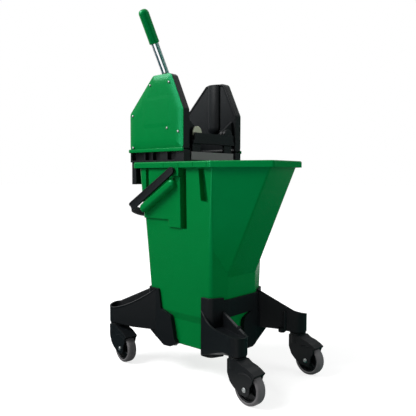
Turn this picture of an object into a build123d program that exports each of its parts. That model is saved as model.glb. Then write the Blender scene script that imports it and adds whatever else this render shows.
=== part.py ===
from build123d import *
import os
from math import atan2, cos, degrees, radians, sin

os.makedirs("parts", exist_ok=True)

# A wheeled mop bucket with a lift-off lever wringer, in millimetres.
# The origin is on the floor, midway between the four castor stems. +X runs towards the pouring spout,
# -Y is the side with the lever and +Z is up.

# Clearances
running_gap = 0.05
moving_gap = 0.3

# Castors
wheel_radius = 37.5
tyre_width = 25
tyre_depth = 8.5
castor_trail = 37
stem_half_length = 206.6
stem_half_width = 123.7
stem_radius = 5.5
stem_reach = 30
fork_head = 24
axle_radius = 4
axle_head = 1.5
axle_head_height = 2
fork_half_width = 18
fork_leg = 4
fork_neck_radius = 20
fork_neck_height = 26
fork_back = 18
fork_visor = 5
visor_start = 110
visor_end = 56
wheel_room = 2.5
socket_wall = 3.5
socket_flange = 1.7
stem_set = 17
hub_web = 2
hub_rim = 3
hub_boss = 5
spoke_width = 4
castor_yaws = {"front_left": -8, "front_right": -5, "rear_left": -8, "rear_right": -5}

# Bucket
wall = 3.5
floor_level = 73
floor_thickness = 4
base_height = 65
step_height = 14
step_inset = 5
rim_height = 530
rim_lip = 15
rim_overhang = 10
corner_radius = 12
low_half_width = 96
low_back = 104
low_corner = 103
low_end = 120
end_half_width = 54
top_half_width = 104
top_back = 140
top_corner = 113
spout_reach = 245
spout_half_width = 51.2
spout_foot_height = 252
spout_side_height = 325

# Mouldings on the two side walls
pad_proud = 4
groove_depth = 6
groove_skin = 3
bail_rest_width = 24
bail_rest_start = 10
bail_rest_length = 142
bail_rest_round = 5
pad_left = -112
pad_corner_left = -118
pad_corner_drop = 106
pad_shelf_drop = 144
pad_foot_left = -30
pad_foot_drop = 163
pad_right = 12
pad_top_left = -8
pad_top_drop = 36
slot_width = 16
slot_top_drop = 38
taper_low_left = 84
taper_high_left = 72
taper_width = 14.5
taper_low_drop = 98
notch_left = -111
notch_width = 11
notch_low_drop = 74
groove_top_drop = 17

# Bail handle
bail_pivot_x = -6
bail_pivot_drop = 23
bail_pin_radius = 5
bail_width = 23
bail_thickness = 7
bail_length = 182
bail_bow = 38
bail_droop = 32
bail_side_gap = 1.3
bail_corner = 15
pivot_boss_width = 30
pivot_boss_shift = 3

# Castor brackets
bracket_wall = 5.5
bracket_sole = 9
bracket_rise = 105
bracket_leg_reach = 34
band_width = 43
band_drop = 6
arm_root = 80
arm_skew = 0.2
arm_end_radius = 22
arm_end_height = 41
arm_skin = 4
arm_floor = 35
low_arm_outer_rise = 62
low_arm_inner_rise = 70
high_arm_outer_rise = 94
high_arm_inner_rise = 75
leg_far = 140
short_leg_start = 72
long_leg_start = 6
screw_radius = 2.5
screw_head = 3
short_leg_screw = 80
long_leg_screw = 32
screw_from_leg_edge = 9.4
screw_boss_radius = 7
screw_boss_height = 12

# Wringer
skirt_reach = 18
wringer_right = 28
jaw_inner = 88
jaw_depth = 22
cover_thickness = 4.5
cover_above_rim = 28.5
cover_side = 97.5
cover_peak = 90
peak_left = -79
peak_right = -14
cover_lap = 0.8
cover_corner = 14
cover_foot_corner = 5
label_length = 96
label_height = 70
label_corner = 8
label_shift = 17
label_proud = 0.8
cover_screw_radius = 1.75
cover_screw_head = 1.6
cover_screw_bite = 10
jaw_edge = 6
jaw_panel = 4
hinge_half_width = 60
hinge_above_rim = 72
hinge_pin_radius = 6
lug_width = 8
lug_radius = 15
bush_wall = 2
bush_flange_radius = 18
bush_flange = 3
post_thickness = 6
frame_flange = 4
frame_wall = 3.5
basket_depth = 46
basket_gap = 14
basket_side_gap = 12.5
basket_ledge = 6
skirt_depth = 58
skirt_half_width = 105
skirt_box = 16
panel_height = 20
panel_thickness = 2.5
grid_thickness = 4
grid_slot = 8
grid_bar = 6

# Lever
lever_x = -48
lever_y = -82
lever_radius = 9.5
lever_wall = 1.5
lever_lean = 28.5
lever_bend = 60
lever_foot_below_top = 106
lever_bend_below_top = 40
lever_straight = 171
grip_radius = 12.5
grip_length = 78
grip_cap = 4
socket_radius = 24
front_socket_reach = 20
rear_socket_reach = 9
socket_length = 114
lever_pin_radius = 3
lever_pin_rise = 22

# Gear sectors
pressure_slope = 0.42
tooth_pitch = 12
tooth_height = 3.2
tooth_root = 4
tooth_thickness = 5.2
gear_thickness = 8

swivel_level = 2 * wheel_radius + fork_head
arm_level = swivel_level + socket_flange + moving_gap
bracket_bottom = floor_level - bracket_sole
bracket_top = arm_level + bracket_rise
band_high = bracket_top - band_drop
band_low = band_high - band_width
wringer_left = -(top_back + rim_overhang + skirt_reach)
basket_left = -(top_back - basket_gap)
basket_half_width = top_half_width - wall - basket_side_gap
wall_run = rim_height - floor_level - base_height - step_height
step_low = floor_level + base_height
step_high = step_low + step_height


def along(height, low, top):
    """A wall position at a height, on the straight line from the step to the rim."""
    return low + (top - low) * (height - step_high) / wall_run


def side_wall(height):
    """Half the outer width of the bucket at a height."""
    return along(height, low_half_width, top_half_width)


# The slanted corner panels stay flat, so the end face leans out as far as they do.
top_end = top_corner + (low_end - low_corner) * (top_half_width - end_half_width) / (
    low_half_width - end_half_width
)


def body_section(height, inset=0.0):
    """The bucket's six-sided plan at a height, drawn in by an inset."""
    half = side_wall(height)
    back = along(height, low_back, top_back)
    corner = along(height, low_corner, top_corner)
    end = along(height, low_end, top_end)
    with BuildSketch(Plane.XY.offset(height)) as section:
        with BuildLine():
            Polyline(
                (-back, -half),
                (corner, -half),
                (end, -end_half_width),
                (end, end_half_width),
                (corner, half),
                (-back, half),
                close=True,
            )
        make_face()
        if inset:
            offset(amount=-inset, kind=Kind.INTERSECTION)
        fillet(section.vertices(), corner_radius - inset)
    return section.sketch


def rim_section(height, grow):
    """The plan of the rim at a height, grown outwards from the wall top."""
    with BuildSketch(Plane.XY.offset(height)) as section:
        with BuildLine():
            Polyline(
                (-top_back, -top_half_width),
                (top_corner, -top_half_width),
                (spout_reach, -spout_half_width),
                (spout_reach, spout_half_width),
                (top_corner, top_half_width),
                (-top_back, top_half_width),
                close=True,
            )
        make_face()
        offset(amount=grow, kind=Kind.INTERSECTION)
        fillet(section.vertices(), grow)
    return section.sketch


# Spout: a ruled wedge that grows out of the end face and the two corner panels.
spout_root = 20
corner_tuck = 2.2


def spout_wedge(inset):
    """The outside of the spout, or its inside when drawn in by the wall."""
    side_x = along(spout_side_height, low_corner, top_corner) - 0.5 * inset
    side_y = side_wall(spout_side_height) - corner_tuck - inset
    foot_x = low_end + (top_end - low_end) * (spout_foot_height - step_high) / wall_run - 1.1 * inset - 0.4
    fall = spout_foot_height - spout_side_height
    run = foot_x - side_x
    slant = Vector(run, 0, fall)
    lower_plane = Plane(
        origin=(side_x, 0, spout_side_height), x_dir=slant, z_dir=(-fall, 0, run)
    )
    foot_half = end_half_width - 0.5 * inset
    with BuildSketch(lower_plane) as lower:
        with BuildLine():
            Polyline(
                (-spout_root, -side_y),
                (0, -side_y),
                (slant.length, -foot_half),
                (slant.length, foot_half),
                (0, side_y),
                (-spout_root, side_y),
                close=True,
            )
        make_face()
    mouth_x = spout_reach - 1.1 * inset
    mouth_half = spout_half_width - 0.65 * inset
    neck_x = top_corner - 0.5 * inset
    neck_y = top_half_width - corner_tuck - inset
    with BuildSketch(Plane.XY.offset(rim_height)) as upper:
        with BuildLine():
            Polyline(
                (neck_x - spout_root, -neck_y),
                (neck_x, -neck_y),
                (mouth_x, -mouth_half),
                (mouth_x, mouth_half),
                (neck_x, neck_y),
                (neck_x - spout_root, neck_y),
                close=True,
            )
        make_face()
    with BuildPart() as wedge:
        loft([lower.sketch, upper.sketch], ruled=True)
        if inset:
            extrude(upper.sketch, amount=wall)
    return wedge.part


# Bucket body without its hollow, which the brackets are also cut to.
with BuildPart() as bucket_core:
    loft([body_section(floor_level, step_inset), body_section(step_low, step_inset)], ruled=True)
    loft([body_section(step_low, step_inset), body_section(step_high)], ruled=True)
    loft([body_section(step_high), body_section(rim_height)], ruled=True)

with BuildPart() as bucket_hollow:
    low_inset = step_inset + wall
    loft(
        [body_section(floor_level + floor_thickness, low_inset), body_section(step_low, low_inset)],
        ruled=True,
    )
    loft([body_section(step_low, low_inset), body_section(step_high, wall)], ruled=True)
    loft([body_section(step_high, wall), body_section(rim_height + wall, wall)], ruled=True)
    add(spout_wedge(wall))

# Rim: a flange with a turned-down lip.
with BuildPart() as rim:
    extrude(rim_section(rim_height - rim_lip, rim_overhang), amount=rim_lip)
    extrude(rim_section(rim_height - rim_lip, rim_overhang - wall), amount=rim_lip - wall, mode=Mode.SUBTRACT)

# Side wall mouldings, drawn on the leaning front wall and mirrored to the rear wall.
wall_lean = degrees(atan2(top_half_width - low_half_width, wall_run))
panel_level = rim_height - 80
front_wall = Plane(
    origin=(0, -side_wall(panel_level), panel_level),
    x_dir=(1, 0, 0),
    z_dir=(0, -cos(radians(wall_lean)), -sin(radians(wall_lean))),
)
bail_pivot_z = rim_height - bail_pivot_drop
rim_outer = top_half_width + rim_overhang
bail_inner = rim_outer + bail_side_gap
bail_outer = bail_inner + bail_thickness
pivot_boss_outer = rim_outer - 1


def on_wall(x, height):
    """A point of the side wall drawing from its X and its height."""
    return (x, height - panel_level)


bail_down = Vector(-cos(radians(bail_droop)), 0, -sin(radians(bail_droop)))
bail_below = Vector(sin(radians(bail_droop)), 0, -cos(radians(bail_droop)))
bail_pivot = Vector(bail_pivot_x, 0, bail_pivot_z)
rest_drop = bail_width / 2 + moving_gap + bail_rest_width / 2
rest_middle = bail_pivot + bail_below * rest_drop + bail_down * (bail_rest_start + bail_rest_length / 2)

pad_foot = rim_height - pad_foot_drop
pad_shelf = rim_height - pad_shelf_drop
pad_top = rim_height - pad_top_drop
groove_top = rim_height - groove_top_drop
pad_corners = [
    (pad_left, pad_shelf),
    (pad_foot_left, pad_shelf),
    (pad_foot_left, pad_foot),
    (pad_right, pad_foot),
    (pad_right, pad_top),
    (pad_top_left, pad_top),
    (pad_corner_left, rim_height - pad_corner_drop),
]
upright_slot = [
    (pad_right, pad_foot),
    (pad_right + slot_width, pad_foot),
    (pad_right + slot_width, rim_height - slot_top_drop),
    (pad_right, rim_height - slot_top_drop),
]
tapered_slot = [
    (taper_low_left, rim_height - taper_low_drop),
    (taper_low_left + taper_width, rim_height - taper_low_drop),
    (taper_high_left + taper_width, groove_top),
    (taper_high_left, groove_top),
]
back_notch = [
    (notch_left, rim_height - notch_low_drop),
    (notch_left + notch_width, rim_height - notch_low_drop),
    (notch_left + notch_width, groove_top),
    (notch_left, groove_top),
]
wall_grooves = (upright_slot, tapered_slot, back_notch)

with BuildPart() as side_mouldings:
    with BuildSketch(front_wall):
        with BuildLine():
            Polyline(*[on_wall(*p) for p in pad_corners], close=True)
        make_face()
    extrude(amount=pad_proud)
    extrude(side_mouldings.faces().sort_by(Axis.Y)[-1], amount=wall / 2)
    with BuildSketch(Plane.XZ.offset(top_half_width - 2 * wall)):
        with Locations((rest_middle.X, rest_middle.Z)):
            SlotOverall(bail_rest_length, bail_rest_width, rotation=bail_droop)
    extrude(amount=bail_outer - top_half_width + 2 * wall - 1)
    fillet(side_mouldings.faces().sort_by(Axis.Y)[0].edges(), bail_rest_round)
    boss_low = bail_pivot_z - 2.6 * bail_pin_radius
    boss_high = rim_height - rim_lip + 1
    with Locations((bail_pivot_x + pivot_boss_shift, -pivot_boss_outer, boss_low)):
        Box(
            pivot_boss_width,
            pivot_boss_outer - top_half_width + 2 * wall,
            boss_high - boss_low,
            align=(Align.CENTER, Align.MIN, Align.MIN),
        )

with BuildPart() as side_grooves:
    for outline in wall_grooves:
        with BuildSketch(front_wall.offset(pad_proud + 1)):
            with BuildLine():
                Polyline(*[on_wall(*p) for p in outline], close=True)
            make_face()
        extrude(amount=-(groove_depth + pad_proud + 1))

with BuildPart() as groove_backs:
    for outline in wall_grooves:
        with BuildSketch(front_wall.offset(-wall / 2)):
            with BuildLine():
                Polyline(*[on_wall(*p) for p in outline], close=True)
            make_face()
            offset(amount=groove_skin, kind=Kind.INTERSECTION)
        extrude(amount=-(groove_depth + groove_skin - wall / 2))

floor_top = floor_level + floor_thickness
bracket_half = side_wall(bracket_top) + bracket_wall
leg_inner = bracket_half - bracket_leg_reach
screw_y = leg_inner + screw_from_leg_edge
screw_places = [
    (short_leg_screw, -screw_y),
    (long_leg_screw, screw_y),
    (-short_leg_screw, screw_y),
    (-long_leg_screw, -screw_y),
]

with BuildPart() as bucket_shell:
    add(bucket_core.part)
    add(spout_wedge(0))
    add(rim.part)
    for piece in (side_mouldings.part, mirror(side_mouldings.part, about=Plane.XZ, mode=Mode.PRIVATE)):
        add(piece)
    add(bucket_hollow.part, mode=Mode.SUBTRACT)
    for piece in (groove_backs.part, mirror(groove_backs.part, about=Plane.XZ, mode=Mode.PRIVATE)):
        add(piece)
    for piece in (side_grooves.part, mirror(side_grooves.part, about=Plane.XZ, mode=Mode.PRIVATE)):
        add(piece, mode=Mode.SUBTRACT)
    with Locations(*[(x, y, floor_top) for x, y in screw_places]):
        Cylinder(screw_boss_radius, screw_boss_height, align=(Align.CENTER, Align.CENTER, Align.MIN))
    with Locations(*[(x, y, floor_level) for x, y in screw_places]):
        Cylinder(
            screw_radius + running_gap,
            floor_thickness + screw_boss_height - wall,
            align=(Align.CENTER, Align.CENTER, Align.MIN),
            mode=Mode.SUBTRACT,
        )
    for side in (1, -1):
        with Locations(Location((bail_pivot_x, side * top_half_width, bail_pivot_z), (90, 0, 0))):
            Cylinder(
                bail_pin_radius + running_gap,
                2 * (pivot_boss_outer - top_half_width),
                mode=Mode.SUBTRACT,
            )
bucket_shell.part.label = "bucket_shell"
export_step(bucket_shell.part, "parts/bucket_shell.step")

# Bail handle: a strap bent round the back end, with a pin moulded on each arm.
bail_plane = Plane(origin=bail_pivot, x_dir=(0, 1, 0), z_dir=-bail_below)


def strap_outline(half, length, corner):
    """The bowed outline of the strap, from the pivot line to the crossbar."""
    with BuildSketch(bail_plane.offset(-bail_width / 2)) as outline:
        with BuildLine():
            Polyline((-half, length), (-half, 0), (half, 0), (half, length))
            ThreePointArc((half, length), (0, length + bail_bow), (-half, length))
        make_face()
        fillet(outline.vertices().group_by(Axis.Y)[-1], corner)
    return outline.sketch


with BuildPart() as bail_handle:
    extrude(strap_outline(bail_outer, bail_length, bail_corner), amount=bail_width)
    extrude(
        strap_outline(bail_inner, bail_length - bail_thickness, bail_corner - bail_thickness),
        amount=bail_width,
        mode=Mode.SUBTRACT,
    )
    for side in (1, -1):
        arm_plane = Location((bail_pivot_x, side * bail_inner, bail_pivot_z), (90, 0, 0))
        with Locations(arm_plane):
            Cylinder(
                bail_width / 2,
                bail_thickness,
                align=(Align.CENTER, Align.CENTER, Align.MAX if side > 0 else Align.MIN),
            )
        with Locations(arm_plane):
            Cylinder(
                bail_pin_radius,
                bail_inner - top_half_width - moving_gap,
                align=(Align.CENTER, Align.CENTER, Align.MIN if side > 0 else Align.MAX),
            )
bail_handle.part.label = "bail_handle"
export_step(bail_handle.part, "parts/bail_handle.step")

# Castor brackets: a wrap round each end of the base, two legs and two arms out to the castors.
with BuildPart() as bracket_wrap:
    with BuildSketch(Plane.XY.offset(bracket_bottom)):
        add(body_section(bracket_top, -bracket_wall).moved(Location((0, 0, -bracket_top))))
    extrude(amount=bracket_top - bracket_bottom)
    add(bucket_core.part, mode=Mode.SUBTRACT)

# Each bracket has a short leg with a low arm and a long leg with a high arm, and the two brackets face
# each other turned half round, so the high arms stand at opposite corners.
short_leg = [
    (short_leg_start, bracket_bottom),
    (leg_far, bracket_bottom),
    (leg_far, bracket_top),
    (short_leg_start, bracket_top),
]
long_leg = [
    (long_leg_start, bracket_bottom),
    (long_leg_start, bracket_bottom + 11),
    (long_leg_start + 12, bracket_bottom + 24),
    (long_leg_start + 27, band_low - 16),
    (arm_root - 14, band_low - 3),
    (arm_root, bracket_top),
    (leg_far, bracket_top),
    (leg_far, arm_level),
    (arm_root + 23, arm_level - 2),
    (arm_root - 28, bracket_bottom),
]
tongue_reach = leg_inner - 2.6
end_tongue = [
    (0, band_low - 17),
    (0, bracket_bottom + 8),
    (10, bracket_bottom),
    (24, bracket_bottom),
    (tongue_reach, arm_level),
    (tongue_reach, band_low + 3),
    (28, band_low + 1),
]


def castor_arm(end, side, inner_x, outer_z, inner_z):
    """One hollow arm from a bracket leg out to a castor stem, open at the top."""
    stem_x = end * stem_half_length
    stem_y = side * stem_half_width
    arm_top = arm_level + arm_end_height
    root = Vector(end * arm_root, side * bracket_half, 0)
    across = Vector(inner_x, side * leg_inner, 0) - root
    tilt = Vector(end * arm_skew, -side, 0).normalized()
    root_plane = Plane(origin=root, x_dir=across, z_dir=across.cross(Vector(0, 0, 1)))
    end_plane = Plane(origin=(stem_x, stem_y, 0), x_dir=tilt, z_dir=tilt.cross(Vector(0, 0, 1)))
    width = across.length
    with BuildSketch(root_plane) as near:
        with BuildLine():
            Polyline((0, arm_level), (width, arm_level), (width, inner_z), (0, outer_z), close=True)
        make_face()
    with BuildSketch(end_plane) as far:
        with Locations((0, arm_level + arm_end_height / 2)):
            Rectangle(2 * arm_end_radius, arm_end_height)
    floor = arm_level + arm_floor
    with BuildSketch(root_plane) as near_hollow:
        with Locations((width / 2, (floor + 2 * bracket_top) / 2)):
            Rectangle(width - 2 * arm_skin, 2 * bracket_top - floor)
    with BuildSketch(end_plane) as far_hollow:
        with Locations((0, (floor + 2 * bracket_top) / 2)):
            Rectangle(2 * (arm_end_radius - arm_skin), 2 * bracket_top - floor)
    with BuildPart() as arm:
        loft([near.sketch, far.sketch], ruled=True)
        with Locations((stem_x, stem_y, arm_level)):
            Cylinder(arm_end_radius, arm_end_height, align=(Align.CENTER, Align.CENTER, Align.MIN))
        loft([near_hollow.sketch, far_hollow.sketch], ruled=True, mode=Mode.SUBTRACT)
        with Locations((stem_x, stem_y, floor)):
            Cylinder(
                arm_end_radius - arm_skin,
                2 * arm_end_height,
                align=(Align.CENTER, Align.CENTER, Align.MIN),
                mode=Mode.SUBTRACT,
            )
        with Locations((stem_x, stem_y, arm_level)):
            Cylinder(
                stem_radius + socket_wall + 2 * running_gap,
                stem_reach + 2,
                align=(Align.CENTER, Align.CENTER, Align.MIN),
                mode=Mode.SUBTRACT,
            )
    return arm.part


def castor_bracket(label, end, inner_x):
    """One end bracket: end is 1 towards the spout and -1 at the back."""
    with BuildPart() as legs:
        for side in (1, -1):
            outline = long_leg if side == end else short_leg
            with BuildSketch(Plane.XZ.offset(-side * bracket_half)):
                with BuildLine():
                    Polyline(*[(end * x, z) for x, z in outline], close=True)
                make_face()
            extrude(amount=side * bracket_leg_reach)
        with Locations((end * (low_end + low_back) / 2, 0, (band_low + band_high) / 2)):
            Box(low_end - low_back + 80, 2 * leg_inner + 4, band_high - band_low)
        with BuildSketch(Plane.YZ.offset(end * (low_end + low_back) / 2)):
            with BuildLine():
                Polyline(*[(end * y, z) for y, z in end_tongue], close=True)
            make_face()
        extrude(amount=low_end - low_back + 10, both=True)
    with BuildPart() as bracket:
        add(bracket_wrap.part)
        add(legs.part, mode=Mode.INTERSECT)
        for side in (1, -1):
            if side == end:
                rises = (high_arm_outer_rise, high_arm_inner_rise)
            else:
                rises = (low_arm_outer_rise, low_arm_inner_rise)
            add(castor_arm(end, side, inner_x, arm_level + rises[0], arm_level + rises[1]))
        add(bucket_core.part, mode=Mode.SUBTRACT)
        with Locations(*[(x, y, bracket_bottom) for x, y in screw_places if x * end > 0]):
            Cylinder(
                screw_radius + running_gap,
                floor_level - bracket_bottom,
                align=(Align.CENTER, Align.CENTER, Align.MIN),
                mode=Mode.SUBTRACT,
            )
    bracket.part.label = label
    export_step(bracket.part, f"parts/{label}.step")


castor_bracket("castor_bracket_right", 1, low_end + 2)
castor_bracket("castor_bracket_left", -1, -low_back - 8)

with BuildPart() as bracket_screws:
    with Locations(*[(x, y, bracket_bottom) for x, y in screw_places]):
        Cylinder(2 * screw_radius, screw_head, align=(Align.CENTER, Align.CENTER, Align.MAX))
        Cylinder(
            screw_radius,
            floor_top + screw_boss_height - bracket_bottom - 2 * wall,
            align=(Align.CENTER, Align.CENTER, Align.MIN),
        )
bracket_screws.part.label = "bracket_screws"
export_step(bracket_screws.part, "parts/bracket_screws.step")

stem_places = [
    (end * stem_half_length, side * stem_half_width, arm_level) for end in (-1, 1) for side in (-1, 1)
]
with BuildPart() as stem_sockets:
    with Locations(*stem_places):
        Cylinder(
            stem_radius + socket_wall + running_gap,
            stem_reach + 1,
            align=(Align.CENTER, Align.CENTER, Align.MIN),
        )
        Cylinder(
            fork_neck_radius * 0.8,
            socket_flange,
            align=(Align.CENTER, Align.CENTER, Align.MAX),
        )
        Cylinder(stem_radius + running_gap, 4 * stem_reach, mode=Mode.SUBTRACT)
stem_sockets.part.label = "stem_sockets"
export_step(stem_sockets.part, "parts/stem_sockets.step")

# Castor pieces, made with the stem on the Z axis and the wheel trailing along +X.
visor_radius = wheel_radius + wheel_room + fork_visor
fork_shoulder = swivel_level - 7


def on_visor(angle):
    """A point of the visor's arc round the wheel, from its angle above the axle."""
    return (
        castor_trail + visor_radius * cos(radians(angle)),
        wheel_radius + visor_radius * sin(radians(angle)),
    )


with BuildPart() as fork:
    with BuildSketch(Plane.XZ.offset(-fork_half_width)):
        with BuildLine():
            Polyline(
                (-fork_back, fork_shoulder),
                (-fork_back, wheel_radius + 24.5),
                (-fork_back + 5, wheel_radius + 12.5),
                (1, wheel_radius + 0.5),
                (castor_trail - 11, wheel_radius - 12),
                (castor_trail + 12, wheel_radius - 8),
                (castor_trail + 14, wheel_radius + 8),
                (castor_trail + 19, wheel_radius + 14),
                on_visor(visor_end),
                (fork_neck_radius, wheel_radius + visor_radius + 1),
                (fork_neck_radius - 2, fork_shoulder),
                close=True,
            )
        make_face()
        with Locations((castor_trail, wheel_radius)):
            Circle(3.3 * axle_radius)
    extrude(amount=2 * fork_half_width)
    with BuildSketch(Plane.XZ.offset(-fork_half_width)):
        with BuildLine():
            CenterArc((castor_trail, wheel_radius), visor_radius, visor_end, visor_start - visor_end)
            Line(on_visor(visor_start), (castor_trail, wheel_radius))
            Line((castor_trail, wheel_radius), on_visor(visor_end))
        make_face()
    extrude(amount=2 * fork_half_width)
    with Locations((0, 0, swivel_level - moving_gap)):
        Cylinder(fork_neck_radius, fork_neck_height, align=(Align.CENTER, Align.CENTER, Align.MAX))
    with Locations(Location((castor_trail, 0, wheel_radius), (90, 0, 0))):
        Cylinder(wheel_radius + wheel_room, 2 * (fork_half_width - fork_leg), mode=Mode.SUBTRACT)
        Cylinder(axle_radius + running_gap, 4 * fork_half_width, mode=Mode.SUBTRACT)
    with Locations((0, 0, swivel_level)):
        Cylinder(
            stem_radius + running_gap,
            stem_set + 1,
            align=(Align.CENTER, Align.CENTER, Align.MAX),
            mode=Mode.SUBTRACT,
        )

with BuildPart() as stem:
    with Locations((0, 0, swivel_level - stem_set)):
        Cylinder(
            stem_radius,
            arm_level + stem_reach - swivel_level + stem_set,
            align=(Align.CENTER, Align.CENTER, Align.MIN),
        )

wheel_spot = Location((castor_trail, 0, wheel_radius), (90, 0, 0))
axle_half = fork_half_width + running_gap
with BuildPart() as axle:
    with Locations(wheel_spot):
        Cylinder(axle_radius, 2 * axle_half)
    for side in (1, -1):
        head_y = side * (axle_half + axle_head_height / 2)
        with Locations(Location((castor_trail, head_y, wheel_radius), (90, 0, 0))):
            Cylinder(axle_radius + axle_head, axle_head_height)

rim_radius = wheel_radius - tyre_depth
with BuildPart() as hub:
    with Locations(wheel_spot):
        Cylinder(rim_radius, tyre_width - 2 * hub_web)
        for depth in (1, -1):
            with Locations((0, 0, depth * tyre_width / 2)):
                Cylinder(rim_radius - hub_rim, tyre_width - 2 * hub_web - 7, mode=Mode.SUBTRACT)
        Cylinder(axle_radius + hub_boss, 2 * (fork_half_width - fork_leg - moving_gap))
        with PolarLocations((rim_radius + axle_radius) / 2 + 1, 3):
            Box(rim_radius - axle_radius - 4, spoke_width, tyre_width - 3 * hub_web)
        Cylinder(axle_radius + running_gap, 2 * tyre_width, mode=Mode.SUBTRACT)

with BuildPart() as tyre:
    with Locations(wheel_spot):
        Cylinder(wheel_radius, tyre_width)
    fillet(tyre.edges().filter_by(GeomType.CIRCLE), 5)
    with Locations(wheel_spot):
        Cylinder(rim_radius + running_gap, 2 * tyre_width, mode=Mode.SUBTRACT)

castor_pieces = {
    "castor_fork": fork.part,
    "castor_stem": stem.part,
    "castor_axle": axle.part,
    "wheel_hub": hub.part,
    "wheel_tyre": tyre.part,
}
for corner, yaw in castor_yaws.items():
    stem_x = stem_half_length if "right" in corner else -stem_half_length
    stem_y = stem_half_width if "rear" in corner else -stem_half_width
    for piece, shape in castor_pieces.items():
        with BuildPart() as placed:
            with Locations(Location((stem_x, stem_y, 0), (0, 0, yaw))):
                add(shape)
        placed.part.label = f"{piece}_{corner}"
        export_step(placed.part, f"parts/{piece}_{corner}.step")

# Wringer heights follow the rim.
seat = rim_height + moving_gap
flange_top = seat + frame_flange
cover_bottom = rim_height + cover_above_rim
cover_shoulder = cover_bottom + cover_side
cover_top = cover_shoulder + cover_peak
hinge_z = rim_height + hinge_above_rim
jaw_outer = jaw_inner + jaw_depth
cover_outer = jaw_outer + cover_thickness


def jaw_outline(plane, lap):
    """The pointed outline shared by jaw and cover, drawn in by a lap."""
    with BuildSketch(plane) as outline:
        with BuildLine():
            Polyline(
                (wringer_left, cover_bottom),
                (wringer_right, cover_bottom),
                (wringer_right, cover_shoulder),
                (peak_right, cover_top),
                (peak_left, cover_top),
                (wringer_left, cover_shoulder),
                close=True,
            )
        make_face()
        fillet(outline.vertices().group_by(Axis.Y)[1:], cover_corner)
        fillet(outline.vertices().group_by(Axis.Y)[0], cover_foot_corner)
        if lap:
            offset(amount=-lap, kind=Kind.INTERSECTION)
    return outline.sketch


cover_screw_places = [
    (peak_right - 4.7, cover_top - 23),
    (peak_left - 7, cover_top - 24),
    (wringer_left + 15, cover_shoulder - 6),
    (wringer_left + 16, cover_bottom + 9),
    (peak_right - 11.5, cover_shoulder - 44),
    (wringer_right - 15.2, cover_shoulder - 54),
]
lug_spots = {
    "back": wringer_left + 18,
    "spout": wringer_right - 20,
}

# Lever path: upright in the jaw socket, then bent outwards.
lever_foot = cover_top - lever_foot_below_top
bend_start = cover_top - lever_bend_below_top
lean = radians(lever_lean)
bend_end = (lever_y - lever_bend * (1 - cos(lean)), bend_start + lever_bend * sin(lean))
lever_end = (bend_end[0] - lever_straight * sin(lean), bend_end[1] + lever_straight * cos(lean))
lever_plane = Plane(origin=(lever_x, 0, 0), x_dir=(0, 1, 0), z_dir=(1, 0, 0))
with BuildLine(lever_plane) as lever_path:
    upright = Line((lever_y, lever_foot), (lever_y, bend_start))
    bend = JernArc(start=upright @ 1, tangent=upright % 1, radius=lever_bend, arc_size=lever_lean)
    Line(bend @ 1, lever_end)


def lever_rod(radius):
    """A round rod along the lever's path."""
    with BuildPart() as rod:
        with BuildSketch(Plane.XY.offset(lever_foot)):
            with Locations((lever_x, lever_y)):
                Circle(radius)
        sweep(path=lever_path.line)
    return rod.part


pin_level = lever_foot + lever_pin_rise


def lever_socket(reach):
    """The half-round bulge on a jaw's inner face, as far proud of it as its reach."""
    with BuildPart() as bulge:
        with Locations(
            (lever_x, reach - jaw_inner - socket_radius, cover_top - cover_lap - socket_length)
        ):
            Cylinder(socket_radius, socket_length, align=(Align.CENTER, Align.CENTER, Align.MIN))
            Sphere(socket_radius)
        with Locations((lever_x, -(jaw_inner + jaw_edge + jaw_panel), cover_shoulder)):
            Box(
                3 * socket_radius,
                jaw_inner,
                4 * socket_length,
                align=(Align.CENTER, Align.MIN, Align.CENTER),
                mode=Mode.INTERSECT,
            )
    return bulge.part


def wringer_jaw(side, socket):
    """One black jaw plate: side is -1 at the front and 1 at the rear."""
    front = Plane.XZ.offset(jaw_inner)
    with BuildPart() as jaw:
        extrude(jaw_outline(front, cover_lap), amount=jaw_depth)
        extrude(jaw_outline(front, cover_lap + jaw_edge), amount=jaw_edge, mode=Mode.SUBTRACT)
        extrude(
            jaw_outline(front.offset(jaw_edge + jaw_panel), cover_lap + jaw_edge),
            amount=jaw_depth,
            mode=Mode.SUBTRACT,
        )
        add(lever_socket(front_socket_reach if socket else rear_socket_reach))
        for lug_x in lug_spots.values():
            with BuildSketch(Plane(origin=(lug_x, 0, 0), x_dir=(0, 1, 0), z_dir=(1, 0, 0))):
                with BuildLine():
                    Polyline(
                        (-jaw_inner - jaw_edge - 1, hinge_z - 32),
                        (-hinge_half_width, hinge_z - lug_radius),
                        (-hinge_half_width, hinge_z + lug_radius),
                        (-jaw_inner - jaw_edge - 1, hinge_z + 44),
                        close=True,
                    )
                make_face()
                with Locations((-hinge_half_width, hinge_z)):
                    Circle(lug_radius)
            extrude(amount=lug_width)
            with Locations(Location((lug_x, -hinge_half_width, hinge_z), (0, 90, 0))):
                Cylinder(hinge_pin_radius + running_gap, 4 * lug_width, mode=Mode.SUBTRACT)
        boss_face = -(jaw_inner + jaw_edge + jaw_panel)
        with Locations(*[Location((x, boss_face, z), (90, 0, 0)) for x, z in cover_screw_places]):
            Cylinder(
                3 * cover_screw_radius,
                jaw_outer + boss_face,
                align=(Align.CENTER, Align.CENTER, Align.MIN),
            )
        with Locations(*[Location((x, -jaw_outer, z), (90, 0, 0)) for x, z in cover_screw_places]):
            Cylinder(
                cover_screw_radius + running_gap,
                cover_screw_bite,
                align=(Align.CENTER, Align.CENTER, Align.MAX),
                mode=Mode.SUBTRACT,
            )
        if socket:
            add(lever_rod(lever_radius + running_gap), mode=Mode.SUBTRACT)
            with Locations(Location((lever_x, lever_y, pin_level), (0, 90, 0))):
                Cylinder(lever_pin_radius + running_gap, 1.5 * socket_radius, mode=Mode.SUBTRACT)
    return jaw.part if side < 0 else mirror(jaw.part, about=Plane.XZ)


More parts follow.
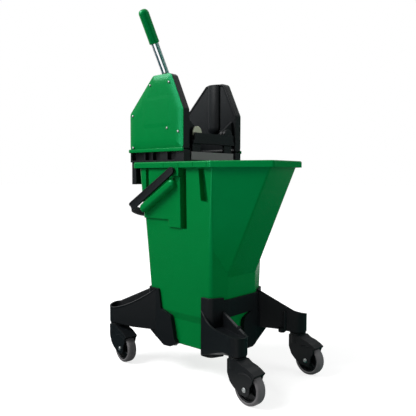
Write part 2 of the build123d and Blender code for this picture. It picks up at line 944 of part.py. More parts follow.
def jaw_cover(side):
    """One coloured cover plate with a raised panel and screw holes."""
    with BuildPart() as cover:
        extrude(jaw_outline(Plane.XZ.offset(jaw_outer), 0), amount=cover_thickness)
        fillet(cover.faces().sort_by(Axis.Y)[0].edges(), cover_thickness * 0.6)
        with BuildSketch(Plane.XZ.offset(cover_outer)):
            with Locations(((peak_left + peak_right) / 2 - label_shift, cover_shoulder - 2)):
                RectangleRounded(label_length, label_height, label_corner)
        extrude(amount=label_proud)
        with Locations(*[Location((x, -cover_outer, z), (90, 0, 0)) for x, z in cover_screw_places]):
            Cylinder(cover_screw_radius + running_gap, 4 * cover_thickness, mode=Mode.SUBTRACT)
    return cover.part if side < 0 else mirror(cover.part, about=Plane.XZ)


def cover_screws(side):
    """The screws that hold one cover to its jaw."""
    with BuildPart() as screws:
        with Locations(*[Location((x, -cover_outer, z), (90, 0, 0)) for x, z in cover_screw_places]):
            Cylinder(
                1.8 * cover_screw_radius,
                cover_screw_head,
                align=(Align.CENTER, Align.CENTER, Align.MIN),
            )
            Cylinder(
                cover_screw_radius,
                cover_thickness + cover_screw_bite - 1,
                align=(Align.CENTER, Align.CENTER, Align.MAX),
            )
    return screws.part if side < 0 else mirror(screws.part, about=Plane.XZ)


post_spots = {"back": wringer_left + 8, "spout": wringer_right - 10}


def hinge_pins(side):
    """The two pins that a jaw turns on, fixed in its lugs."""
    with BuildPart() as pins:
        with Locations(
            Location((post_spots["back"] - bush_flange, -hinge_half_width, hinge_z), (0, 90, 0))
        ):
            Cylinder(
                hinge_pin_radius,
                lug_spots["back"] + lug_width + gear_thickness - post_spots["back"] + bush_flange,
                align=(Align.CENTER, Align.CENTER, Align.MIN),
            )
        with Locations(Location((lug_spots["spout"], -hinge_half_width, hinge_z), (0, 90, 0))):
            Cylinder(
                hinge_pin_radius,
                post_spots["spout"] + post_thickness + bush_flange - lug_spots["spout"],
                align=(Align.CENTER, Align.CENTER, Align.MIN),
            )
            Cylinder(hinge_pin_radius + 3, 3, align=(Align.CENTER, Align.CENTER, Align.MAX))
    return pins.part if side < 0 else mirror(pins.part, about=Plane.XZ)


def pivot_bushes(side):
    """The two flanged bushes of one jaw, seated in the frame posts."""
    sleeve = hinge_pin_radius + running_gap + bush_wall
    with BuildPart() as bushes:
        for post_x, flange_align in (
            (post_spots["back"], Align.MAX),
            (post_spots["spout"] + post_thickness, Align.MIN),
        ):
            with Locations(Location((post_x, -hinge_half_width, hinge_z), (0, 90, 0))):
                Cylinder(bush_flange_radius, bush_flange, align=(Align.CENTER, Align.CENTER, flange_align))
        for post_x in post_spots.values():
            with Locations(Location((post_x, -hinge_half_width, hinge_z), (0, 90, 0))):
                Cylinder(sleeve, post_thickness, align=(Align.CENTER, Align.CENTER, Align.MIN))
                Cylinder(
                    hinge_pin_radius + running_gap,
                    4 * post_thickness,
                    align=(Align.CENTER, Align.CENTER, Align.CENTER),
                    mode=Mode.SUBTRACT,
                )
    return bushes.part if side < 0 else mirror(bushes.part, about=Plane.XZ)


gear_hub = lug_radius
gear_plane = Plane(origin=(lug_spots["back"] + lug_width, 0, 0), x_dir=(0, 1, 0), z_dir=(1, 0, 0))


def gear_sector(side, teeth):
    """A toothed sector on the inner face of a jaw lug, meshing midway between the jaws."""
    centre = (-hinge_half_width, hinge_z)
    root = hinge_half_width - tooth_root
    tip = hinge_half_width + tooth_height
    half_root = tooth_thickness / 2 + tooth_root * pressure_slope
    half_tip = tooth_thickness / 2 - tooth_height * pressure_slope
    low = min(teeth) - tooth_pitch / 2
    high = max(teeth) + tooth_pitch / 2
    with BuildPart() as gear:
        with BuildSketch(gear_plane):
            with BuildLine():
                CenterArc(centre, root, low, high - low)
                Line(
                    (centre[0] + root * cos(radians(high)), centre[1] + root * sin(radians(high))),
                    (centre[0], centre[1] + gear_hub),
                )
                Line((centre[0], centre[1] + gear_hub), (centre[0], centre[1] - gear_hub))
                Line(
                    (centre[0], centre[1] - gear_hub),
                    (centre[0] + root * cos(radians(low)), centre[1] + root * sin(radians(low))),
                )
            make_face()
            with Locations(centre):
                Circle(gear_hub)
            for angle in teeth:
                with Locations(Location((centre[0], centre[1], 0), (0, 0, angle))):
                    Polygon(
                        (root - 2, -half_root),
                        (root, -half_root),
                        (tip, -half_tip),
                        (tip, half_tip),
                        (root, half_root),
                        (root - 2, half_root),
                        align=None,
                    )
            with Locations(centre):
                Circle(hinge_pin_radius + running_gap, mode=Mode.SUBTRACT)
        extrude(amount=gear_thickness)
    return gear.part if side < 0 else mirror(gear.part, about=Plane.XZ)


front_teeth = [(k - 0.5) * tooth_pitch for k in range(4)]
rear_teeth = [(k - 1) * tooth_pitch for k in range(5)]
for name, side, teeth in (("front", -1, front_teeth), ("rear", 1, rear_teeth)):
    jaw_pieces = {
        f"{name}_jaw": wringer_jaw(side, side < 0),
        f"{name}_cover": jaw_cover(side),
        f"{name}_cover_screws": cover_screws(side),
        f"{name}_hinge_pins": hinge_pins(side),
        f"{name}_pivot_bushes": pivot_bushes(side),
        f"{name}_gear_sector": gear_sector(side, teeth),
    }
    for label, shape in jaw_pieces.items():
        shape.label = label
        export_step(shape, f"parts/{label}.step")

# Lever tube, grip and cross pin
with BuildPart() as lever_tube:
    add(lever_rod(lever_radius))
    add(lever_rod(lever_radius - lever_wall), mode=Mode.SUBTRACT)
    with Locations(Location((lever_x, lever_y, pin_level), (0, 90, 0))):
        Cylinder(lever_pin_radius + running_gap, 4 * lever_radius, mode=Mode.SUBTRACT)
lever_tube.part.label = "lever_tube"
export_step(lever_tube.part, "parts/lever_tube.step")

with BuildPart() as lever_pin:
    with Locations(Location((lever_x, lever_y, pin_level), (0, 90, 0))):
        Cylinder(lever_pin_radius, 1.5 * socket_radius)
lever_pin.part.label = "lever_pin"
export_step(lever_pin.part, "parts/lever_pin.step")

grip_end = Plane(
    origin=(lever_x, lever_end[0], lever_end[1]), x_dir=(1, 0, 0), z_dir=(0, -sin(lean), cos(lean))
)
with BuildPart() as lever_grip:
    with BuildSketch(grip_end.offset(-grip_length)):
        Circle(grip_radius)
    extrude(amount=grip_length + grip_cap)
    fillet(lever_grip.faces().sort_by(Axis.Z)[-1].edges(), grip_radius * 0.75)
    with BuildSketch(grip_end.offset(-grip_length)):
        Circle(lever_radius + running_gap)
    extrude(amount=grip_length + running_gap, mode=Mode.SUBTRACT)
lever_grip.part.label = "lever_grip"
export_step(lever_grip.part, "parts/lever_grip.step")

# Wringer frame: seat flange, side rails, hanging basket, back skirt and the posts for the jaw pins.
frame_right = wringer_right
basket_right = wringer_right - basket_ledge
basket_floor = seat - basket_depth
rail_top = cover_bottom - 1
rail_web = jaw_outer - 12
rail_ribs = (
    (wringer_left + 3, 6),
    (wringer_left + 56, 5),
    (wringer_left + 84, 5),
    (wringer_right - 70, 28),
    (wringer_right - 16, 20),
)
guard_inner = post_spots["spout"] + post_thickness + bush_flange + 0.2
guard_outer = guard_inner + 4
bar_low = hinge_z - 27
bar_high = hinge_z - bush_flange_radius - 1
with BuildPart() as wringer_frame:
    with Locations(((wringer_left + frame_right) / 2, 0, seat)):
        Box(
            frame_right - wringer_left,
            2 * jaw_outer,
            frame_flange,
            align=(Align.CENTER, Align.CENTER, Align.MIN),
        )
    with Locations(((basket_left + basket_right) / 2, 0, basket_floor)):
        Box(
            basket_right - basket_left,
            2 * basket_half_width,
            flange_top - basket_floor,
            align=(Align.CENTER, Align.CENTER, Align.MIN),
        )
        Box(
            basket_right - basket_left - 2 * (frame_wall + basket_ledge),
            2 * (basket_half_width - frame_wall - basket_ledge),
            4 * basket_depth,
            mode=Mode.SUBTRACT,
        )
    with Locations(((basket_left + basket_right) / 2, 0, basket_floor + frame_wall)):
        Box(
            basket_right - basket_left - 2 * frame_wall,
            2 * (basket_half_width - frame_wall),
            4 * basket_depth,
            align=(Align.CENTER, Align.CENTER, Align.MIN),
            mode=Mode.SUBTRACT,
        )
    for side in (1, -1):
        with Locations(((wringer_left + frame_right) / 2, side * rail_web, flange_top)):
            Box(
                frame_right - wringer_left,
                frame_wall,
                rail_top - flange_top,
                align=(Align.CENTER, Align.CENTER, Align.MIN),
            )
        for rib_x, rib_width in rail_ribs:
            with Locations((rib_x, side * rail_web, flange_top)):
                Box(
                    rib_width,
                    2 * (jaw_outer - rail_web),
                    rail_top - flange_top,
                    align=(Align.CENTER, Align.CENTER, Align.MIN),
                )
        with Locations((frame_right - 3, side * (jaw_inner + jaw_depth / 2), flange_top)):
            Box(6, jaw_depth, rail_top - flange_top, align=(Align.CENTER, Align.CENTER, Align.MIN))
    with Locations((wringer_left, 0, flange_top)):
        Box(
            skirt_box,
            2 * skirt_half_width,
            skirt_depth + frame_flange,
            align=(Align.MIN, Align.CENTER, Align.MAX),
        )
    with Locations((wringer_left + frame_wall, 0, seat)):
        Box(
            skirt_box,
            2 * (skirt_half_width - frame_wall),
            4 * skirt_depth,
            align=(Align.MIN, Align.CENTER, Align.MAX),
            mode=Mode.SUBTRACT,
        )
    for post_x in post_spots.values():
        for side in (1, -1):
            with BuildSketch(Plane(origin=(post_x, 0, 0), x_dir=(0, 1, 0), z_dir=(1, 0, 0))):
                with Locations((side * hinge_half_width, hinge_z)):
                    Circle(lug_radius)
                with Locations((side * hinge_half_width, (hinge_z + flange_top) / 2)):
                    Rectangle(2 * lug_radius, hinge_z - flange_top)
            extrude(amount=post_thickness)
        with Locations((post_x, 0, bar_low)):
            Box(
                post_thickness,
                2 * (hinge_half_width + lug_radius),
                bar_high - bar_low,
                align=(Align.MIN, Align.CENTER, Align.MIN),
            )
        for side in (1, -1):
            with Locations(Location((post_x, side * hinge_half_width, hinge_z), (0, 90, 0))):
                Cylinder(
                    hinge_pin_radius + bush_wall + 2 * running_gap, 4 * post_thickness, mode=Mode.SUBTRACT
                )
    with Locations((post_spots["spout"] + post_thickness, 0, bar_low)):
        Box(
            guard_outer - post_spots["spout"] - post_thickness,
            2 * (hinge_half_width + lug_radius + 4),
            bar_high - bar_low,
            align=(Align.MIN, Align.CENTER, Align.MIN),
        )
    with Locations((guard_inner, 0, bar_low)):
        Box(
            guard_outer - guard_inner,
            2 * (hinge_half_width + lug_radius),
            hinge_z - bar_low - 1,
            align=(Align.MIN, Align.CENTER, Align.MIN),
        )
wringer_frame.part.label = "wringer_frame"
export_step(wringer_frame.part, "parts/wringer_frame.step")

panel_x = post_spots["spout"] + post_thickness
with BuildPart() as end_panel:
    with Locations((panel_x, 0, flange_top)):
        Box(
            panel_thickness,
            2 * (jaw_inner - 7),
            panel_height,
            align=(Align.MIN, Align.CENTER, Align.MIN),
        )
end_panel.part.label = "end_panel"
export_step(end_panel.part, "parts/end_panel.step")

grid_length = basket_right - basket_left - 2 * frame_wall - 2 * moving_gap
grid_width = 2 * (basket_half_width - frame_wall - moving_gap)
slot_rows = 3
slot_bar = 10
slot_length = (grid_width - 2 * slot_bar) / slot_rows - slot_bar
slot_count = int((grid_length - 2 * basket_ledge) // (grid_slot + grid_bar))
with BuildPart() as drain_grid:
    with Locations(((basket_left + basket_right) / 2, 0, basket_floor + frame_wall)):
        Box(grid_length, grid_width, grid_thickness, align=(Align.CENTER, Align.CENTER, Align.MIN))
        with GridLocations(grid_slot + grid_bar, slot_length + slot_bar, slot_count, slot_rows):
            Box(grid_slot, slot_length, 4 * grid_thickness, mode=Mode.SUBTRACT)
drain_grid.part.label = "drain_grid"
export_step(drain_grid.part, "parts/drain_grid.step")
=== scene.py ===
"""Dresses a wheeled mop bucket with a lever wringer for a studio picture.

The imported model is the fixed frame. Every class below stands for one sub-assembly of the
object, holds its sizes as fields and rides its pieces on the frame's bodies. The pieces are
sized in millimetres, which the bench lays down in metres. The studio and the finishes
are sized in metres.
"""
import logging
import math
from contextlib import contextmanager
from dataclasses import dataclass, field
from enum import Enum
from typing import Callable, Iterator, Sequence

import bpy
from mathutils import Matrix, Vector


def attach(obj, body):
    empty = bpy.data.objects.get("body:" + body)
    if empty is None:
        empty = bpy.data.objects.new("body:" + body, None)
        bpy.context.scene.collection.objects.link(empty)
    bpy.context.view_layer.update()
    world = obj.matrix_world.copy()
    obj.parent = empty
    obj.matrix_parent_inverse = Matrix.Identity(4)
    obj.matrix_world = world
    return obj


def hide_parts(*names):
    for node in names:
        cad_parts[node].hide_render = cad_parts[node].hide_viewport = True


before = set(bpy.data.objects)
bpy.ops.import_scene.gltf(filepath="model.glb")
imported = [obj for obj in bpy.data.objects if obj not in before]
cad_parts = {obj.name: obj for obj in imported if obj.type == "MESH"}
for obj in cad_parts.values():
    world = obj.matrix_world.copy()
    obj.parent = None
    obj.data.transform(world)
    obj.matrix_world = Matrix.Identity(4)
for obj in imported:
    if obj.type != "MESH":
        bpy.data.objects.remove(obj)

log = logging.getLogger("mop_bucket")

MM = 0.001  # one millimetre, in metres
SHARP = 32.0  # degrees: where a piece says no other, an edge bent by more is sharp
WELD = 0.002  # millimetres: points of a loft that are closer become one
CAD_WELD = 0.005  # millimetres: the same in a copy of a CAD mesh
CAD_FLAT = 0.6  # degrees: faces of such a copy that are bent by less become one
LEAST_RADIUS = 0.05  # millimetres: an outline's corners stay at least this round
WHITE = (1.0, 1.0, 1.0, 1.0)

Pair = tuple[float, float]
Pairs = tuple[Pair, ...]
Point = tuple[float, float, float]
Ring = list[Point]
Piece = bpy.types.Object


class Slot(Enum):
    """The record's material slots."""

    GREEN = "green_plastic"
    BLACK = "black_plastic"
    GREY = "grey_plastic"
    NYLON = "pale_nylon"
    TYRE = "grey_tyre"
    CHROME = "bright_tube"
    STEEL = "steel"


class Body(Enum):
    """The frame's bodies that new pieces ride on."""

    BUCKET = "bucket"
    BAIL = "bail"
    WRINGER = "wringer"
    FRONT_JAW = "front_jaw"
    REAR_JAW = "rear_jaw"


class Axis(Enum):
    """The axes that round pieces are turned about."""

    X = 0
    Y = 1
    Z = 2

    def place(self, along: float, across: Pair) -> Point:
        """Puts a distance along the axis among the two coordinates across it."""
        return (*across[:self.value], along, *across[self.value:])


class Tree:
    """Adds shader nodes to one material or world and links them."""

    def __init__(self, tree: bpy.types.NodeTree) -> None:
        """Keeps the tree's nodes and links."""
        self.nodes = tree.nodes
        self.links = tree.links

    def feed(self, node: bpy.types.Node, inputs: dict[str | int, object]) -> None:
        """Sets inputs of a node, or links them.

        Args:
            node: The node.
            inputs: A value or another node's output, for each input's name or number.
        """
        for name, value in inputs.items():
            if isinstance(value, bpy.types.NodeSocket):
                self.links.new(value, node.inputs[name])
            else:
                node.inputs[name].default_value = value

    def add(
        self, kind: str, inputs: dict[str | int, object] | None = None, **settings: object
    ) -> bpy.types.Node:
        """Adds a node.

        Args:
            kind: Blender's name of the node's type, without its first words.
            inputs: What its inputs are fed with.
            settings: Its settings.

        Returns:
            The new node.
        """
        node = self.nodes.new(f"ShaderNode{kind}")
        for key, value in settings.items():
            setattr(node, key, value)
        self.feed(node, inputs or {})
        return node


@dataclass(frozen=True)
class Finish:
    """A procedural surface finish.

    Attributes:
        name: The material's name.
        colour: The base colour, linear red, green and blue.
        mottle: How far the colour wanders, as a share of itself.
        roughness: The middle roughness.
        rough_swing: How far the roughness wanders either way.
        metallic: 1 for bare metal, 0 for plastics and rubber.
        grain: Size of the fine surface grain.
        grain_depth: Height of the grain.
        grain_detail: Number of the grain's finer layers.
        wave: Size of the slow waviness of the moulding.
        wave_depth: Height of that waviness.
        wave_detail: Number of the waviness's finer layers.
        streak: Scale of the grain's coordinates; less than 1 draws the grain out.
        specular: The specular level.
        coat: Weight of a clear gloss layer.
        shine: Colour of the reflections.
    """

    name: str
    colour: Point
    mottle: float = 0.06
    roughness: float = 0.4
    rough_swing: float = 0.05
    metallic: float = 0.0
    grain: float = 0.0012
    grain_depth: float = 0.00003
    grain_detail: float = 2.0
    wave: float = 0.06
    wave_depth: float = 0.0004
    wave_detail: float = 3.0
    streak: Point = (1.0, 1.0, 1.0)
    specular: float = 0.5
    coat: float = 0.0
    shine: Point = (1.0, 1.0, 1.0)

    def make(self) -> bpy.types.Material:
        """Builds the node tree.

        Returns:
            The finished material.
        """
        material = bpy.data.materials.new(self.name)
        material.use_nodes = True
        tree = Tree(material.node_tree)
        place = tree.add("TexCoord").outputs["Object"]
        drawn = tree.add("Mapping", {"Vector": place, "Scale": self.streak}).outputs["Vector"]
        slow = self._noise(tree, place, self.wave, self.wave_detail)
        fine = self._noise(tree, drawn, self.grain, self.grain_detail)
        dark = [c * (1.0 - self.mottle) for c in self.colour]
        light = [min(1.0, c * (1.0 + self.mottle)) for c in self.colour]
        tint = tree.add("Mix", {"Factor": slow, "A": (*dark, 1.0), "B": (*light, 1.0)}, data_type="RGBA")
        low, high = self.roughness - self.rough_swing, self.roughness + self.rough_swing
        gloss = tree.add("MapRange", {"Value": fine, "To Min": low, "To Max": high})
        swell = tree.add("Bump", {"Height": slow, "Distance": self.wave_depth, "Strength": 1.0})
        pores = tree.add("Bump", {
            "Height": fine, "Distance": self.grain_depth, "Strength": 1.0, "Normal": swell.outputs["Normal"],
        })
        tree.feed(tree.nodes["Principled BSDF"], {
            "Base Color": tint.outputs["Result"],
            "Roughness": gloss.outputs["Result"],
            "Normal": pores.outputs["Normal"],
            "Metallic": self.metallic,
            "Specular IOR Level": self.specular,
            "Specular Tint": (*self.shine, 1.0),
            "Coat Weight": self.coat,
        })
        return material

    @staticmethod
    def _noise(tree: Tree, place: bpy.types.NodeSocket, size: float, detail: float) -> bpy.types.NodeSocket:
        """Adds a noise texture with cells of a size and a number of finer layers."""
        noise = tree.add("TexNoise", {"Vector": place, "Scale": 1.0 / size, "Detail": detail})
        return noise.outputs["Fac"]


FINISHES: dict[Slot, Finish] = {
    Slot.GREEN: Finish(
        "bucket_green", (0.0, 0.17, 0.032), roughness=0.26, specular=0.3, shine=(0.03, 0.9, 0.5),
    ),
    Slot.BLACK: Finish("moulded_black", (0.0045, 0.0056, 0.0066), roughness=0.42, specular=0.15),
    Slot.GREY: Finish("panel_grey", (0.13, 0.13, 0.13), roughness=0.5),
    Slot.NYLON: Finish("bush_nylon", (0.36, 0.39, 0.28), roughness=0.45),
    Slot.TYRE: Finish("tyre_grey", (0.105, 0.1, 0.105), roughness=0.6),
    Slot.CHROME: Finish(
        "lever_chrome", (0.78, 0.78, 0.8), roughness=0.12, rough_swing=0.04, metallic=1.0,
        wave_depth=0.00005, grain_depth=0.00001, streak=(1.0, 1.0, 0.05), mottle=0.03,
    ),
    Slot.STEEL: Finish(
        "screw_steel", (0.27, 0.28, 0.28), roughness=0.5, metallic=1.0, grain=0.0006,
        wave_depth=0.00005,
    ),
}


@dataclass(frozen=True)
class SoftBox:
    """A large soft lamp.

    Attributes:
        name: The lamp's name.
        place: Where it hangs.
        size: Its width and height.
        power: Its power, in watts.
    """

    name: str
    place: Point
    size: Pair
    power: float


@dataclass(frozen=True)
class Flag:
    """A card beside the object that only reflections show.

    Attributes:
        name: The card's name.
        place: Its middle.
        size: Its width and height.
        tip: How far it is tipped up from lying flat, in degrees.
        turn: Its turn about the upright, in degrees.
        colour: Its colour, linear red, green and blue.
        glow: Strength of its own light.
    """

    name: str
    place: Point
    size: Pair
    tip: float
    turn: float
    colour: Point
    glow: float = 0.0


SOFT_BOXES = (
    SoftBox("key_box", (-0.95, -1.35, 1.95), (1.3, 1.1), 64.0),
    SoftBox("fill_box", (2.5, 0.9, 1.2), (1.6, 1.6), 24.0),
    SoftBox("back_box", (-0.9, 2.6, 2.4), (2.4, 2.0), 24.0),
)
FLAGS = (
    Flag("right_flag", (1.71, -0.34, 0.9), (1.9, 1.8), 90.0, 82.5, (0.02, 0.12, 0.1)),
    Flag("rear_flag", (1.23, 1.18, 0.9), (1.75, 1.8), 90.0, 135.0, (0.03, 0.2, 0.16)),
    Flag("right_floor_flag", (0.95, 0.4, 0.003), (1.9, 1.7), 0.0, 120.0, (0.01, 0.2, 0.16)),
    Flag("left_flag", (-1.6, -1.5, 0.4), (2.6, 0.8), 90.0, -45.0, (0.03, 0.07, 0.08)),
    Flag("left_top_flag", (-1.6, -1.5, 1.2), (2.6, 0.8), 90.0, -45.0, (0.3, 0.42, 0.45)),
    Flag("left_floor_flag", (-0.72, -0.78, 0.003), (1.8, 1.95), 0.0, -45.0, (0.03, 0.07, 0.08)),
    Flag("far_flag", (-0.9, 1.75, 1.05), (3.0, 2.1), 90.0, 27.0, (0.13, 0.15, 0.16)),
    Flag("far_floor_flag", (-1.0, 1.0, 0.003), (1.9, 1.9), 0.0, 45.0, (0.1, 0.12, 0.12)),
    Flag("edge_card", (-0.66, -1.8, 1.0), (0.5, 1.7), 90.0, -20.0, (0.8, 0.8, 0.8), 6.5),
)
HIDDEN_RAYS = ("camera", "diffuse", "shadow", "transmission", "volume_scatter")


@dataclass
class Studio:
    """The floor, the lamps, the flags and the camera.

    Attributes:
        camera_place: Where the camera stands.
        azimuth: Turn of the view about the upright, in degrees.
        pitch: How far the view looks down, in degrees.
        roll: Tilt of the camera about its own axis, in degrees.
        lens: Focal length on the sensor, in millimetres.
        sensor: Width of the sensor, in millimetres.
        floor_size: Half the width of the floor.
        floor_tone: Brightness of the floor's own colour.
        floor_lift: How much the floor glows where it is seen, below the object and far away.
        floor_fade: Distances from the object between which that glow rises.
        world_light: Strength of the world's light, and of its face where it is seen.
        aim: The place that the lamps look at.
    """

    camera_place: Point = (0.9198, -1.0252, 0.4905)
    azimuth: float = 41.64
    pitch: float = 3.27
    roll: float = -0.17
    lens: float = 45.87
    sensor: float = 36.0
    floor_size: float = 30.0
    floor_tone: float = 0.45
    floor_lift: Pair = (0.74, 0.9)
    floor_fade: Pair = (0.3, 1.2)
    world_light: Pair = (0.3, 1.0)
    aim: Point = (0.0, 0.0, 0.4)

    def build(self) -> None:
        """Sets up the whole studio."""
        bpy.context.scene.view_settings.view_transform = "Standard"
        self._camera()
        self._floor()
        self._world()
        self._lamps()
        self._flags()

    def _camera(self) -> None:
        """Stands the camera where the photograph was taken from."""
        data = bpy.data.cameras.new("camera")
        data.lens = self.lens
        data.sensor_width = self.sensor
        camera = bpy.data.objects.new("camera", data)
        camera.location = self.camera_place
        upright = math.radians(90.0 - self.pitch)
        camera.rotation_euler = (upright, math.radians(self.roll), math.radians(self.azimuth))
        bpy.context.scene.collection.objects.link(camera)
        bpy.context.scene.camera = camera

    @staticmethod
    def _matt(name: str, colour: Point, glow: float = 0.0) -> bpy.types.Material:
        """Makes a matt material.

        Args:
            name: The material's name.
            colour: Its colour, linear red, green and blue.
            glow: Strength of its own white light.

        Returns:
            The material.
        """
        material = bpy.data.materials.new(name)
        material.use_nodes = True
        tree = Tree(material.node_tree)
        tree.feed(tree.nodes["Principled BSDF"], {
            "Base Color": (*colour, 1.0), "Roughness": 1.0, "Specular IOR Level": 0.0,
            "Emission Color": WHITE, "Emission Strength": glow,
        })
        return material

    def _floor(self) -> None:
        """Lays a pale floor that keeps the object's shadow."""
        Bench.clear()
        bpy.ops.mesh.primitive_plane_add(size=2.0 * self.floor_size)
        floor = bpy.context.object
        floor.name = "floor"
        material = self._matt("pale_floor", (self.floor_tone, self.floor_tone, self.floor_tone))
        tree = Tree(material.node_tree)
        place = tree.add("TexCoord").outputs["Object"]
        distance = tree.add("VectorMath", {0: place}, operation="LENGTH").outputs["Value"]
        (near, far), (low, high) = self.floor_fade, self.floor_lift
        lift = tree.add("MapRange", {
            "Value": distance, "From Min": near, "From Max": far, "To Min": low, "To Max": high,
        })
        glow = tree.add("Math", {0: self._shown(tree), 1: lift.outputs["Result"]}, operation="MULTIPLY")
        tree.feed(tree.nodes["Principled BSDF"], {"Emission Strength": glow.outputs["Value"]})
        floor.data.materials.append(material)

    @staticmethod
    def _shown(tree: Tree) -> bpy.types.NodeSocket:
        """Tells camera, glossy and transmission rays from all others.

        Args:
            tree: The tree that asks.

        Returns:
            An output that is 1 for those rays and 0 for the rest.
        """
        paths = tree.add("LightPath").outputs
        shown = paths["Is Camera Ray"]
        for kind in ("Is Transmission Ray", "Is Glossy Ray"):
            shown = tree.add("Math", {0: shown, 1: paths[kind]}, operation="MAXIMUM").outputs["Value"]
        return shown

    def _world(self) -> None:
        """Gives the world an even light and a white face to camera, gloss and glass."""
        world = bpy.data.worlds.new("studio_world")
        world.use_nodes = True
        bpy.context.scene.world = world
        tree = Tree(world.node_tree)
        low, high = self.world_light
        level = tree.add("MapRange", {"Value": self._shown(tree), "To Min": low, "To Max": high})
        tree.feed(tree.nodes["Background"], {"Color": WHITE, "Strength": level.outputs["Result"]})

    def _lamps(self) -> None:
        """Hangs the soft boxes round the object."""
        for box in SOFT_BOXES:
            data = bpy.data.lights.new(box.name, "AREA")
            data.shape = "RECTANGLE"
            data.energy = box.power
            data.size, data.size_y = box.size
            lamp = bpy.data.objects.new(box.name, data)
            lamp.location = box.place
            look = Vector(self.aim) - Vector(box.place)
            lamp.rotation_euler = look.to_track_quat("-Z", "Y").to_euler()
            bpy.context.scene.collection.objects.link(lamp)

    def _flags(self) -> None:
        """Stands dark flags and one bright card round the object, which only reflections show."""
        for flag in FLAGS:
            Bench.clear()
            bpy.ops.mesh.primitive_plane_add(size=1.0)
            card = bpy.context.object
            card.name = flag.name
            card.scale = (*flag.size, 1.0)
            card.location = flag.place
            card.rotation_euler = (math.radians(flag.tip), 0.0, math.radians(flag.turn))
            for ray in HIDDEN_RAYS:
                setattr(card, f"visible_{ray}", False)
            card.data.materials.append(self._matt(f"{flag.name}_cloth", flag.colour, flag.glow))


class Corners:
    """Plane geometry on corner points, in millimetres."""

    @staticmethod
    def box(left: float, right: float, low: float, high: float) -> list[Pair]:
        """Lists the corners of a rectangle, anticlockwise from the lower left."""
        return [(left, low), (right, low), (right, high), (left, high)]

    @staticmethod
    def arc(degrees: Sequence[float]) -> list[Pair]:
        """Lists the cosine and the sine of several angles."""
        return [(math.cos(a), math.sin(a)) for a in map(math.radians, degrees)]

    @staticmethod
    def circle(radius: float, steps: int) -> list[Pair]:
        """Spreads points evenly round a circle."""
        turns = (math.tau * k / steps for k in range(steps))
        return [(radius * math.cos(a), radius * math.sin(a)) for a in turns]

    @staticmethod
    def on_front(x: float, z: float, out: float) -> Point:
        """Finds a point at a distance out from the middle plane, on the front side."""
        return (x, -out, z)

    @staticmethod
    def grown(ring: Sequence[Point], amount: float) -> Ring:
        """Moves every side of a level ring outwards and meets the sides again.

        Args:
            ring: Corners in anticlockwise order, seen from above.
            amount: How far the sides move; negative draws the ring in.

        Returns:
            The new corners, at their old heights.
        """
        moved: Ring = []
        count = len(ring)
        for i, here in enumerate(ring):
            before, after = ring[i - 1], ring[(i + 1) % count]
            ax, ay = here[0] - before[0], here[1] - before[1]
            bx, by = after[0] - here[0], after[1] - here[1]
            a_len, b_len = math.hypot(ax, ay), math.hypot(bx, by)
            na = (ay / a_len, -ax / a_len)
            nb = (by / b_len, -bx / b_len)
            share = amount / (1.0 + na[0] * nb[0] + na[1] * nb[1])
            moved.append((here[0] + (na[0] + nb[0]) * share, here[1] + (na[1] + nb[1]) * share, here[2]))
        return moved

    @staticmethod
    def rounded(ring: Sequence[Point], radii: float | Sequence[float], steps: int = 6) -> Ring:
        """Replaces each corner of a closed ring by a circular arc.

        Args:
            ring: Corners in order.
            radii: One radius, or one for each corner.
            steps: Sides of each arc.

        Returns:
            The points of the rounded ring, steps + 1 for each corner.
        """
        count = len(ring)
        sizes = [radii] * count if isinstance(radii, (int, float)) else list(radii)
        points: Ring = []
        for i in range(count):
            here = Vector(ring[i])
            back = (Vector(ring[i - 1]) - here).normalized()
            ahead = (Vector(ring[(i + 1) % count]) - here).normalized()
            half_turn = (math.pi - back.angle(ahead)) / 2.0
            reach = sizes[i] * math.tan(half_turn)
            weight = math.cos(half_turn)
            start, end = here + back * reach, here + ahead * reach
            for k in range(steps + 1):
                t = k / steps
                a, b, c = (1 - t) ** 2, 2 * t * (1 - t) * weight, t * t
                points.append(tuple((start * a + here * b + end * c) / (a + b + c)))
        return points


